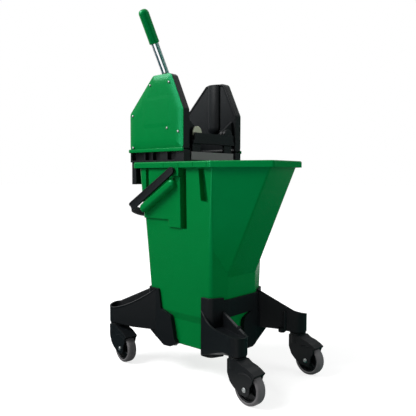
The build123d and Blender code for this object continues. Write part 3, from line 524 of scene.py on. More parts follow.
class Bench:
    """Shapes meshes with Blender's operators. Sizes come in millimetres and are laid down in metres."""

    @staticmethod
    def clear() -> None:
        """Leaves nothing selected."""
        bpy.ops.object.select_all(action="DESELECT")

    @classmethod
    def take(cls, piece: Piece) -> None:
        """Makes one piece the only selected object, and the active one.

        Args:
            piece: The object.
        """
        cls.clear()
        piece.select_set(True)
        bpy.context.view_layer.objects.active = piece

    @classmethod
    @contextmanager
    def editing(cls, piece: Piece, whole: bool = True) -> Iterator[None]:
        """Opens a piece in edit mode.

        Args:
            piece: The mesh object.
            whole: Whether everything in it is selected at the start.
        """
        cls.take(piece)
        bpy.ops.object.mode_set(mode="EDIT")
        if whole:
            bpy.ops.mesh.select_all(action="SELECT")
        yield
        bpy.ops.object.mode_set(mode="OBJECT")

    @classmethod
    def loft(cls, name: str, rings: Sequence[Sequence[Point]], capped: bool = True) -> Piece:
        """Lays the rows of a grid on a stack of closed rings.

        Args:
            name: The new object's name.
            rings: Rings with equal numbers of points.
            capped: Whether the open ends are filled.

        Returns:
            The new mesh object.
        """
        rows = [[*ring, ring[0]] for ring in rings]
        cls.clear()
        bpy.ops.mesh.primitive_grid_add(x_subdivisions=len(rows[0]) - 1, y_subdivisions=len(rows) - 1)
        piece = bpy.context.object
        piece.name = name
        piece.data.name = name
        piece.data.vertices.foreach_set("co", [c * MM for row in rows for point in row for c in point])
        piece.data.update()
        with cls.editing(piece):
            bpy.ops.mesh.remove_doubles(threshold=WELD * MM)
            if capped:
                bpy.ops.mesh.fill_holes(sides=0)
            bpy.ops.mesh.normals_make_consistent(inside=False)
        return piece

    @classmethod
    def boss(
        cls, name: str, outline: Sequence[Pair], radius: float | Sequence[float], levels: Sequence[Pair],
        place: Callable[[float, float, float], Point], steps: int = 4,
    ) -> Piece:
        """Raises a solid on an outline, level by level.

        Args:
            name: The new object's name.
            outline: Corners in the outline's own plane, anticlockwise.
            radius: Radius of its corners, one for all or one for each.
            levels: Pairs of height and inset, from one end to the other.
            place: Turns plane coordinates and a height into a point of the object.
            steps: Sides of each rounded corner.

        Returns:
            The new solid.
        """
        flat = [(x, y, 0.0) for x, y in outline]
        radii = [radius] * len(flat) if isinstance(radius, (int, float)) else list(radius)
        rings = []
        for height, inset in levels:
            rounds = [max(r - inset, LEAST_RADIUS) for r in radii]
            drawn = Corners.rounded(Corners.grown(flat, -inset), rounds, steps)
            rings.append([place(x, y, height) for x, y, _ in drawn])
        return cls.loft(name, rings)

    @classmethod
    def turned(
        cls, name: str, profile: Sequence[Pair], centre: Pair = (0.0, 0.0), steps: int = 48,
        axis: Axis = Axis.Z, capped: bool = True,
    ) -> Piece:
        """Turns a profile about an axis.

        Args:
            name: The new object's name.
            profile: Pairs of radius and place along the axis, from one end to the other.
            centre: The axis's other two coordinates, in their order.
            steps: Sides of the round.
            axis: The axis's direction.
            capped: Whether the two ends are filled; otherwise the profile closes on itself.

        Returns:
            The new solid.
        """
        rings = []
        for radius, along in profile if capped else [*profile, profile[0]]:
            circle = Corners.circle(radius, steps)
            rings.append([axis.place(along, (centre[0] + a, centre[1] + b)) for a, b in circle])
        return cls.loft(name, rings, capped=capped)

    @classmethod
    def apply(cls, piece: Piece, kind: str, **settings: object) -> None:
        """Adds a modifier to a piece and applies it.

        Args:
            piece: The mesh object.
            kind: Blender's name of the modifier's type.
            settings: The modifier's settings.
        """
        cls.take(piece)
        modifier = piece.modifiers.new(kind.lower(), kind)
        for key, value in settings.items():
            setattr(modifier, key, value)
        bpy.ops.object.modifier_apply(modifier=modifier.name)

    @classmethod
    def carve(cls, piece: Piece, operation: str, *tools: Piece) -> None:
        """Joins other solids to a piece, or cuts it with them, and uses them up.

        Args:
            piece: The solid that stays.
            operation: UNION, DIFFERENCE or INTERSECT.
            tools: The other solids.
        """
        for tool in tools:
            cls.apply(piece, "BOOLEAN", operation=operation, object=tool, solver="EXACT")
            bpy.data.objects.remove(tool)

    @classmethod
    def join(cls, piece: Piece, *others: Piece) -> None:
        """Makes several meshes one object.

        Args:
            piece: The object that stays.
            others: The objects that go into it.
        """
        cls.take(piece)
        for other in others:
            other.select_set(True)
        bpy.ops.object.join()

    @staticmethod
    def copied(piece: Piece, name: str, spot: Matrix) -> Piece:
        """Copies a piece to another place, with the move kept in its mesh.

        Args:
            piece: The mesh object.
            name: The copy's name.
            spot: Where the copy goes.

        Returns:
            The copy, with its own mesh.
        """
        mesh = piece.data.copy()
        mesh.name = name
        mesh.transform(spot)
        copy = bpy.data.objects.new(name, mesh)
        bpy.context.scene.collection.objects.link(copy)
        return copy

    @classmethod
    def mirrored(cls, piece: Piece, name: str) -> Piece:
        """Copies a piece to the other side of the bucket's middle plane.

        Args:
            piece: The mesh object.
            name: The copy's name.

        Returns:
            The copy, with its own mesh.
        """
        copy = cls.copied(piece, name, Matrix.Scale(-1.0, 4, (0.0, 1.0, 0.0)))
        with cls.editing(copy):
            bpy.ops.mesh.flip_normals()
        return copy

    @classmethod
    def softened(cls, node: Piece, name: str, width: float) -> Piece:
        """Copies the mesh of a CAD node, merges it and rounds its sharp edges.

        Args:
            node: The CAD node.
            name: The copy's name.
            width: Width of the rounding.

        Returns:
            The copy.
        """
        piece = cls.copied(node, name, node.matrix_world)
        with cls.editing(piece):
            bpy.ops.mesh.remove_doubles(threshold=CAD_WELD * MM)
            bpy.ops.mesh.dissolve_limited(angle_limit=math.radians(CAD_FLAT))
        cls.soften(piece, width)
        return piece

    @classmethod
    def soften(cls, piece: Piece, width: float) -> None:
        """Rounds the sharp edges of a piece.

        Args:
            piece: The mesh object.
            width: Width of the rounding.
        """
        cls.apply(
            piece, "BEVEL", width=width * MM, segments=3, limit_method="ANGLE",
            angle_limit=math.radians(SHARP), use_clamp_overlap=True, miter_outer="MITER_ARC",
        )

    @classmethod
    def smooth(cls, piece: Piece, degrees: float) -> None:
        """Shades a piece smooth across all but its sharp edges.

        Args:
            piece: The mesh object.
            degrees: Edges bent by more than this stay sharp.
        """
        cls.take(piece)
        bpy.ops.object.shade_smooth_by_angle(angle=math.radians(degrees))
        cls.apply(piece, "WEIGHTED_NORMAL", keep_sharp=True)


class Shop:
    """Holds one material for each slot and fits finished pieces to the frame."""

    def __init__(self) -> None:
        """Makes every material once."""
        self.materials = {slot: finish.make() for slot, finish in FINISHES.items()}

    def dress(self, piece: Piece, slot: Slot) -> None:
        """Gives a piece one finish all over.

        Args:
            piece: The mesh object.
            slot: The record's slot that the finish stands for.
        """
        piece.data.materials.clear()
        piece.data.materials.append(self.materials[slot])

    def fit(self, piece: Piece, body: str, slot: Slot, *nodes: str, degrees: float = SHARP) -> None:
        """Shades, dresses and places a finished piece.

        Args:
            piece: The mesh object.
            body: The frame's body that it rides on.
            slot: The record's slot that it is made in.
            nodes: The CAD nodes that it stands in for.
            degrees: Edges bent by more than this stay sharp.
        """
        Bench.smooth(piece, degrees)
        self.dress(piece, slot)
        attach(piece, body)
        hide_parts(*nodes)
        log.info("%s stands in for %s", piece.name, ", ".join(nodes))


@dataclass
class BucketSkin:
    """The green bucket: six leaning walls, a spout, a turned-down rim and moulded side walls.

    Attributes:
        floor: Height of the underside.
        step: Low and high edge of the step that goes out above the base.
        step_inset: How far the base stands back under the step.
        soft: Size of the roundings at the floor and at the step.
        rim: Height of the rim.
        lip: Depth of the turned-down lip.
        overhang: How far the lip stands out from the wall.
        fillet: Radius between the walls and the underside of the rim.
        lip_turn: Radius between the rim's underside and the lip.
        wall: Thickness of the moulding.
        half_width: Half the width at the step and at the rim.
        back: Reach to the back at the step and at the rim.
        corner: X of the side walls' ends at the step and at the rim.
        end: X of the end face at the step and, without the spout, at the rim.
        end_half: Half the width of the end face.
        spout: X and half width of the spout's mouth.
        spout_foot: Height of the spout's lowest line on the end face.
        spout_side: Height of the spout's start on the side walls.
        corner_radius: Radius of the upright corners.
        spout_radii: Radii of the four corners at the spout, under the rim.
        lip_radius: Radius of the lip's corners at the back.
        pad: Outline of the raised pad on each side wall.
        grooves: Outlines of the three sunk grooves on each side wall.
        groove_depths: Depths of the grooves.
        groove_wall: Wall behind and beside the grooves.
        back_lip: How much further the rim stands out at the back.
        collar: Low and high edge of the thicker wall round the back corners.
        collar_depth: Where that wall's inner and outer face lie, from the bucket's face.
        collar_end: X at which that wall begins.
        rest_middle: X and Z of the moulded rest under the bail.
        rest_size: Length and width of that rest.
        rest_droop: Slope of that rest, in degrees.
        rest_reach: How far out it stands.
        rest_soft: Radius of its outer edge.
        pivot: X and Z of the bail's pivot.
        pivot_boss: How far the bosses round it go to the back, to the spout and down.
        pivot_hole: Radius of the pivot holes, and their two ends from the middle plane.
        ticks: X of the small ribs on the lip.
        tick_size: Half the width of those ribs, and how far they stand out.
        tick_span: Low and high end of those ribs.
        screw_bosses: X and Y of the four bosses on the floor.
        screw_boss: Radius and height of those bosses.
    """

    floor: float = 73.0
    step: Pair = (138.0, 152.0)
    step_inset: float = 5.0
    soft: float = 2.0
    rim: float = 530.0
    lip: float = 15.0
    overhang: float = 10.0
    fillet: float = 2.0
    lip_turn: float = 0.5
    wall: float = 3.5
    half_width: Pair = (96.0, 104.0)
    back: Pair = (104.0, 140.0)
    corner: Pair = (103.0, 113.0)
    end: Pair = (120.0, 133.24)
    end_half: float = 54.0
    spout: Pair = (245.0, 51.2)
    spout_foot: float = 252.0
    spout_side: float = 325.0
    corner_radius: float = 12.0
    spout_radii: tuple[float, ...] = (8.0, 4.0, 4.0, 8.0)
    lip_radius: float = 4.0
    pad: Pairs = ((-112, 386), (-30, 386), (-30, 367), (12, 367), (12, 494), (-8, 494), (-118, 424))
    grooves: tuple[Pairs, ...] = (
        ((12, 365), (29.5, 365), (29.5, 513), (13, 513)),
        ((76, 436), (101, 431), (87, 513), (70, 513)),
        ((-111, 456), (-100, 456), (-100, 513), (-111, 513)),
    )
    groove_depths: tuple[float, ...] = (18.0, 15.0, 10.0)
    groove_wall: float = 3.0
    back_lip: float = 5.0
    collar: Pair = (386.0, 513.0)
    collar_depth: Pair = (-1.5, 4.0)
    collar_end: float = -30.0
    rest_middle: Pair = (-62.1, 443.9)
    rest_size: Pair = (142.0, 24.0)
    rest_droop: float = 32.0
    rest_reach: float = 121.3
    rest_soft: float = 9.0
    pivot: Pair = (-6.0, 507.0)
    pivot_boss: Point = (12.0, 18.0, 13.0)
    pivot_hole: Point = (5.4, 103.5, 125.0)
    ticks: tuple[float, ...] = (-40.0, 12.0, 59.0, 103.0)
    tick_size: Pair = (1.3, 0.8)
    tick_span: Pair = (517.0, 527.0)
    screw_bosses: Pairs = ((80, -78), (32, 78), (-80, 78), (-32, -78))
    screw_boss: Pair = (7.0, 12.0)

    def build(self, shop: Shop) -> None:
        """Models the bucket and puts it in place of its CAD node.

        Args:
            shop: Fits the finished piece to the frame.
        """
        rings = [*self._base_rings(), *self._rim_rings()]
        skin = Bench.loft("bucket_skin", rings, capped=False)
        self._close_floor(skin)
        Bench.apply(
            skin, "SOLIDIFY", thickness=self.wall * MM, offset=-1.0, use_even_offset=True,
            use_quality_normals=True,
        )
        for solids in (self._groove_backs(), self._collar(), self._pads(), self._rests(), self._bosses()):
            Bench.carve(skin, "UNION", solids)
        Bench.carve(skin, "DIFFERENCE", self._cutters())
        shop.fit(skin, Body.BUCKET.value, Slot.GREEN, "bucket_shell", degrees=12.5)

    def _along(self, height: float, span: Pair) -> float:
        """Finds a wall's place at a height from its places at the step and at the rim."""
        share = (height - self.step[1]) / (self.rim - self.step[1])
        return span[0] + (span[1] - span[0]) * share

    def _plan(self, side_height: float, end_height: float) -> Ring:
        """Lays out the six corners of the walls.

        Args:
            side_height: Height of the four corners of the side walls.
            end_height: Height of the two corners of the end face.

        Returns:
            The corners, anticlockwise from the back.
        """
        half = self._along(side_height, self.half_width)
        back = self._along(side_height, self.back)
        corner = self._along(side_height, self.corner)
        end = self._along(end_height, self.end)
        return [
            (-back, -half, side_height), (corner, -half, side_height), (end, -self.end_half, end_height),
            (end, self.end_half, end_height), (corner, half, side_height), (-back, half, side_height),
        ]

    def _base_rings(self) -> list[Ring]:
        """Stacks the outlines of the skin from the floor to the start of the spout.

        Returns:
            The rings, all with equal numbers of points.
        """
        low, high = self.step
        inset, soft = self.step_inset, self.soft
        rings = []
        for height, level_inset in (
            (self.floor, inset + soft), (self.floor + soft * 0.4, inset + soft * 0.4),
            (self.floor + soft, inset), (low - soft, inset), (low + soft / 2, inset * 0.84),
            (high - soft / 2, inset * 0.16), (high + soft, 0.0),
        ):
            plan = Corners.grown(self._plan(max(height, high), max(height, high)), -level_inset)
            level = [(x, y, height) for x, y, _ in plan]
            rings.append(Corners.rounded(level, self.corner_radius - level_inset))
        spout_start = self._plan(self.spout_side, self.spout_foot)
        return [*rings, Corners.rounded(spout_start, self.corner_radius)]

    def _rim_rings(self) -> list[Ring]:
        """Stacks the outlines of the rim from the walls' upper ends to the end of the lip.

        Returns:
            The rings, all with equal numbers of points.
        """
        mouth_x, mouth_half = self.spout
        top = self._plan(self.rim, self.rim)
        top[2], top[3] = (mouth_x, -mouth_half, self.rim), (mouth_x, mouth_half, self.rim)
        under, reach = self.rim - self.wall, self.overhang - self.wall
        fillet, turn = self.fillet, self.lip_turn
        mouth_radius = reach + 1.5
        profile = [(0.0, under - fillet)]
        for c, s in Corners.arc((30, 60, 90)):
            profile.append((fillet * (1 - c), under - fillet * (1 - s)))
        for c, s in Corners.arc((0, 22, 45, 68, 90)):
            profile.append((reach - turn + turn * s, under - turn + turn * c))
        profile.append((reach, self.rim - self.lip))
        rings = []
        for grow, height in profile:
            level = [(x, y, height) for x, y, _ in Corners.grown(top, grow)]
            radii = [max(grow, r) for r in (self.corner_radius, *self.spout_radii, self.corner_radius)]
            if grow > fillet:
                radii = [self.lip_radius, *[mouth_radius] * 4, self.lip_radius]
                share = min((grow - fillet) / (reach - turn - fillet), 1.0)
                level = [(x - self.back_lip * share if x < 0 else x, y, z) for x, y, z in level]
            rings.append(Corners.rounded(level, radii))
        return rings

    def _close_floor(self, skin: Piece) -> None:
        """Fills the open bottom ring of the skin.

        Args:
            skin: The open skin.
        """
        mesh = skin.data
        bpy.context.tool_settings.mesh_select_mode = (True, False, False)
        for part in (mesh.vertices, mesh.edges, mesh.polygons):
            part.foreach_set("select", [False] * len(part))
        for vertex in mesh.vertices:
            vertex.select = vertex.co.z < (self.floor + 0.1) * MM
        with Bench.editing(skin, whole=False):
            bpy.ops.mesh.edge_face_add()
            bpy.ops.mesh.select_all(action="SELECT")
            bpy.ops.mesh.normals_make_consistent(inside=False)
        lowest = min(skin.data.polygons, key=lambda face: face.center.z)
        if lowest.normal.z > 0.0:
            with Bench.editing(skin):
                bpy.ops.mesh.flip_normals()

    def _on_wall(self, x: float, z: float, out: float) -> Point:
        """Finds a point at a distance out from the leaning front wall's face."""
        return (x, -(self._along(z, self.half_width) + out), z)

    @staticmethod
    def _both_walls(name: str, *solids: Piece) -> Piece:
        """Joins solids of the front wall with their mirror images on the rear wall.

        Args:
            name: Name of the whole.
            solids: The solids, clear of each other.

        Returns:
            One object with all of them.
        """
        front, *others = solids
        if others:
            Bench.join(front, *others)
        front.name = name
        Bench.join(front, Bench.mirrored(front, f"{name}_rear"))
        return front

    def _pads(self) -> Piece:
        """Raises the pad on each side wall."""
        levels = ((-1.5, 0.0), (2.8, 0.0), (3.6, 0.4), (4.0, 1.2))
        return self._both_walls("pads", Bench.boss("pad", self.pad, 2.5, levels, self._on_wall))

    def _collar(self) -> Piece:
        """Thickens the upper wall from one side round the back to the other.

        Returns:
            The solid.
        """
        low, high = self.collar
        sunk, proud = self.collar_depth
        rings = []
        for grow, height in (
            (sunk, low), (proud - 1.0, low), (proud - 0.3, low + 0.3), (proud, low + 1.0),
            (proud, high), (sunk, high), (sunk, low),
        ):
            plan = Corners.grown(self._plan(height, height), grow)
            rings.append(Corners.rounded(plan, self.corner_radius + grow))
        collar = Bench.loft("collar", rings, capped=False)
        far, half, over = -300.0, self.half_width[1] + 50.0, 20.0
        keep = Corners.box(far, self.collar_end, -half, half)
        block = [[(x, y, z) for x, y in keep] for z in (low - over, high + over)]
        Bench.carve(collar, "INTERSECT", Bench.loft("keep", block))
        return collar

    def _groove_backs(self) -> Piece:
        """Thickens the wall behind the grooves.

        Returns:
            One object with all the solids.
        """
        backs = []
        wall = self.groove_wall
        for outline, depth in zip(self.grooves, self.groove_depths):
            deep = depth + wall
            levels = ((-deep, 1.0 - wall), (1.0 - deep, -wall), (-1.0, -wall))
            backs.append(Bench.boss("back", outline, 2.0, levels, self._on_wall))
        return self._both_walls("groove_backs", *backs)

    def _rests(self) -> Piece:
        """Models the rounded rests that the bail lies on.

        Returns:
            One object with both of them.
        """
        length, width = self.rest_size
        x, z = self.rest_middle
        cos, sin = Corners.arc([self.rest_droop])[0]
        level = Corners.box(-length / 2, length / 2, -width / 2, width / 2)
        corners = [(x + a * cos - b * sin, z + a * sin + b * cos) for a, b in level]
        soft, root = self.rest_soft, self.half_width[1] - 7.0
        levels = [(root, 0.0)]
        for c, s in Corners.arc(range(0, 91, 15)):
            levels.append((self.rest_reach - soft + soft * s, soft * (1 - c)))
        rest = Bench.boss("rest", corners, width / 2 - 0.02, levels, Corners.on_front, 9)
        return self._both_walls("rests", rest)

    def _bosses(self) -> Piece:
        """Models the bail's pivot bosses, the small ribs on the lip and the bosses on the floor.

        Returns:
            One object with all of them.
        """
        x, z = self.pivot
        to_back, to_spout, down = self.pivot_boss
        outline = Corners.box(x - to_back, x + to_spout, z - down, self.rim - self.lip + 1.0)
        lip_face = self.half_width[1] + self.overhang
        outer, depth = lip_face - 1.0, 16.0
        levels = ((outer - depth, 0.0), (outer - 1.5, 0.0), (outer - 0.4, 0.5), (outer, 1.5))
        solids = [Bench.boss("pivot_boss", outline, 3.0, levels, Corners.on_front)]
        half, proud = self.tick_size
        levels = ((lip_face - 2.0, 0.0), (lip_face + proud, 0.3))
        for tick in self.ticks:
            outline = Corners.box(tick - half, tick + half, *self.tick_span)
            solids.append(Bench.boss("tick", outline, 0.5, levels, Corners.on_front))
        whole = self._both_walls("bosses", *solids)
        level = self.floor + self.wall
        radius, height = self.screw_boss
        profile = ((radius, level - 1.0), (radius, level + height - 1.5), (radius - 1.5, level + height))
        for spot in self.screw_bosses:
            Bench.join(whole, Bench.turned("floor_boss", profile, spot, 24))
        return whole

    def _cutters(self) -> Piece:
        """Makes the flared cutters of the grooves and the drills of the pivot holes.

        Returns:
            One object with all of them.
        """
        tools = []
        for outline, depth in zip(self.grooves, self.groove_depths):
            levels = ((-depth, 1.6), (-depth + 0.8, 0.8), (2.0, 0.0), (9.0, 0.0))
            tools.append(Bench.boss("cutter", outline, 3.0, levels, self._on_wall))
        radius, near, far = self.pivot_hole
        tools.append(Bench.turned("drill", ((radius, -near), (radius, -far)), self.pivot, 24, Axis.Y))
        return self._both_walls("cutters", *tools)

    def core(self) -> Piece:
        """Makes the solid that the bucket's lower half fills, for cutting other pieces to it."""
        return Bench.loft("bucket_core", self._base_rings())

    def prism(self, level: float, grow: float, low: float, high: float) -> Piece:
        """Makes an upright prism on the bucket's plan.

        Args:
            level: Height whose plan is taken.
            grow: How far the plan is grown.
            low: Height of the prism's foot.
            high: Height of its top.

        Returns:
            The solid.
        """
        plan = Corners.rounded(Corners.grown(self._plan(level, level), grow), self.corner_radius + grow)
        return Bench.loft("prism", [[(x, y, z) for x, y, _ in plan] for z in (low, high)])


@dataclass
class BailHandle:
    """The black strap handle that hangs round the back end on two moulded pins.

    Attributes:
        pivot: X and Z of the pivot line.
        droop: Slope of the arms, in degrees.
        half: Half the distance between the middles of the two arms.
        length: Length of the arms, from the pivot to the bend.
        bow: How far the crossbar bows out.
        width: Width of the strap.
        end_width: Width of the round ends at the pivots.
        taper: Distance from the pivot over which the strap widens.
        thickness: Thickness of the strap.
        edge: Size of the roundings on its outer face.
        chamfer: Size of the roundings on its inner face.
        groove: Depth of the groove in the inner face, and its start from the pivot.
        bend: Radius of the bends.
        pin_radius: Radius of the pins.
        pin_reach: Where the pins end, from the middle plane.
    """

    pivot: Pair = (-6.0, 507.0)
    droop: float = 32.0
    half: float = 118.8
    length: float = 178.5
    bow: float = 38.0
    width: float = 23.0
    end_width: float = 19.0
    taper: float = 60.0
    thickness: float = 7.0
    edge: float = 2.6
    chamfer: float = 0.8
    groove: Pair = (1.6, 20.0)
    bend: float = 14.0
    pin_radius: float = 5.0
    pin_reach: float = 104.4

    def build(self, shop: Shop) -> None:
        """Models the strap and its pins in place of the CAD node.

        Args:
            shop: Fits the finished piece to the frame.
        """
        path = self._path()
        rings = []
        for i, (y, s) in enumerate(path):
            before, after = path[max(i - 1, 0)], path[min(i + 1, len(path) - 1)]
            run = Vector((after[0] - before[0], after[1] - before[1])).normalized()
            rings.append(self._ring(y, s, (-run.y, run.x)))
        strap = Bench.loft("bail_strap", rings)
        radius, tip = self.pin_radius, self.pin_radius * 0.85
        profile = ((radius, self.half), (radius, self.pin_reach + 1.0), (tip, self.pin_reach))
        for side in (-1, 1):
            pin = [(r, side * y) for r, y in profile]
            Bench.carve(strap, "UNION", Bench.turned("bail_pin", pin, self.pivot, 32, Axis.Y))
        shop.fit(strap, Body.BAIL.value, Slot.BLACK, "bail_handle", degrees=40.0)

    def _path(self) -> list[Pair]:
        """Lays out the strap's middle line from the end of one arm to that of the other.

        Returns:
            Points as distance from the middle plane and distance down from the pivot.
        """
        radius = (self.half**2 + self.bow**2) / (2 * self.bow)
        swing = math.asin(self.half / radius)
        bow_steps, bend_steps = 16, 7
        corners = [(-self.half, 0.0, 0.0)]
        for k in range(bow_steps + 1):
            a = swing * (2 * k / bow_steps - 1)
            corners.append((radius * math.sin(a), self.length + self.bow - radius * (1 - math.cos(a)), 0.0))
        corners.append((self.half, 0.0, 0.0))
        radii = [0.001] * len(corners)
        radii[1] = radii[-2] = self.bend
        rounded = Corners.rounded(corners, radii, bend_steps)
        count = bend_steps + 1
        kept = [corners[0][:2]]
        for i in range(1, len(corners) - 1):
            group = rounded[count * i: count * (i + 1)]
            kept += [p[:2] for p in (group if radii[i] > 1.0 else group[:1])]
        kept.append(corners[-1][:2])
        end = [(self.half, -self.end_width / 2 * s) for _, s in Corners.arc((20, 40, 58, 72, 82, 88))]
        return [(-y, s) for y, s in reversed(end)] + kept + end

    def _ring(self, y: float, s: float, out: Pair) -> Ring:
        """Draws the strap's section at one station.

        Args:
            y: Distance from the middle plane.
            s: Distance down from the pivot.
            out: The strap's outward direction there.

        Returns:
            The section's points.
        """
        share = min(max(s / self.taper, 0.0), 1.0)
        half = (self.end_width + (self.width - self.end_width) * share) / 2
        if s < 0.0:
            half = math.sqrt(max(half**2 - s**2, 0.1))
        deep = self.thickness / 2
        edge = min(self.edge, half * 0.6)
        chamfer = min(self.chamfer, half * 0.4)
        depth, start = self.groove
        groove = depth if s > start else 0.0
        outside = [
            (half, -deep + chamfer), (half, deep - edge), (half - edge * 0.3, deep - edge * 0.3),
            (half - edge, deep),
        ]
        inside = [
            (half - min(5.5, half * 0.6), -deep + groove), (half - min(4.0, half * 0.5), -deep),
            (half - chamfer, -deep),
        ]
        other_half = [(-across, outward) for across, outward in reversed(inside + outside)]
        turn = math.radians(self.droop)
        down = (-math.cos(turn), -math.sin(turn))
        below = (math.sin(turn), -math.cos(turn))
        points = []
        for across, outward in outside + other_half + inside:
            along = s - out[1] * outward
            points.append((
                self.pivot[0] + down[0] * along + below[0] * across,
                y - out[0] * outward,
                self.pivot[1] + down[1] * along + below[1] * across,
            ))
        return points


@dataclass
class CoverPlate:
    """The two green covers of the jaws with their screws.

    Attributes:
        outline: Corners of the cover as X and Z.
        corner: Radius of the upper corners.
        back: Distance of the cover's back from the middle plane.
        thickness: Thickness of the plate.
        roll: Width of the margin that rolls back towards the jaw.
        roll_shares: Shares of that width at which the margin has its levels.
        roll_power: How fast the margin falls off towards its edge.
        lip: How far the lower lip goes to the back, down and up from the outline's lower left.
        panel: Middle, size, corner radius and height of the raised bare panel.
        screws: X and Z of the screws.
        screw_radius: Radius of the screw heads.
    """

    outline: Pairs = ((-168, 558.5), (28, 558.5), (28, 656), (-14, 746), (-79, 746), (-168, 656))
    corner: float = 14.0
    back: float = 110.0
    thickness: float = 4.5
    roll: float = 28.0
    roll_shares: tuple[float, ...] = (0.04, 0.1, 0.18, 0.28, 0.4, 0.55, 0.75, 1.0)
    roll_power: float = 2.1
    lip: Point = (1.5, 4.0, 5.0)
    panel: tuple[float, ...] = (-63.5, 654.0, 96.0, 70.0, 9.0, 0.6)
    screws: Pairs = ((-18.7, 723), (-86, 722), (-153, 650), (-152, 567.5), (-25.5, 612), (12.8, 602))
    screw_radius: float = 3.0

    def build(self, shop: Shop) -> None:
        """Models both covers and both sets of screws.

        Args:
            shop: Fits the finished pieces to the frame.
        """
        front = self._plate()
        rear = Bench.mirrored(front, "rear_cover_skin")
        heads = self._screws()
        rear_heads = Bench.mirrored(heads, "rear_cover_heads")
        shop.fit(front, Body.FRONT_JAW.value, Slot.GREEN, "front_cover", degrees=40.0)
        shop.fit(rear, Body.REAR_JAW.value, Slot.GREEN, "rear_cover", degrees=40.0)
        shop.fit(heads, Body.FRONT_JAW.value, Slot.STEEL, "front_cover_screws")
        shop.fit(rear_heads, Body.REAR_JAW.value, Slot.STEEL, "rear_cover_screws")

    def _plate(self) -> Piece:
        """Models the front cover with its rolled margin, lower lip and bare panel.

        Returns:
            The solid.
        """
        place = Corners.on_front
        face = self.back + self.thickness
        levels = [(self.back, 1.0), (self.back + 0.2, 0.7)]
        for share in self.roll_shares:
            fall = (self.thickness - 0.5) * (1.0 - share) ** self.roll_power
            levels.append((face - fall, self.roll * share))
        plate = Bench.boss("front_cover_skin", self.outline, self.corner, levels, place, 8)

        (left, foot), (right, _) = self.outline[:2]
        to_back, down, up = self.lip
        lip = Corners.box(left - to_back, right, foot - down, foot + up)
        levels = ((self.back + 0.3, 0.0), (face - 1.0, 0.0), (face + 0.6, 0.6), (face + 1.2, 2.2))
        Bench.carve(plate, "UNION", Bench.boss("cover_lip", lip, 2.5, levels, place))

        x, z, length, height, corner, proud = self.panel
        panel = Corners.box(x - length / 2, x + length / 2, z - height / 2, z + height / 2)
        levels = (
            (face - 1.0, -6.0), (face, -5.0), (face + proud * 0.15, -2.5), (face + proud * 0.5, 1.0),
            (face + proud * 0.85, 4.5), (face + proud, 7.0),
        )
        Bench.carve(plate, "UNION", Bench.boss("bare_panel", panel, corner, levels, place, 6))
        return plate

    def _screws(self) -> Piece:
        """Models the domed screws of the front cover, with a sunk drive.

        Returns:
            One object with all of them.
        """
        face = self.back + self.thickness
        r = self.screw_radius
        profile = (
            (1.6, face - 13.0), (1.7, face - 0.3), (r, face - 0.3), (r, face + 0.3), (r * 0.9, face + 1.0),
            (r * 0.66, face + 1.5), (r * 0.42, face + 1.7), (r * 0.38, face + 1.1), (r * 0.1, face + 0.9),
        )
        outward = [(radius, -out) for radius, out in profile]
        heads = [Bench.turned("front_cover_heads", outward, spot, 20, Axis.Y) for spot in self.screws]
        Bench.join(*heads)
        return heads[0]


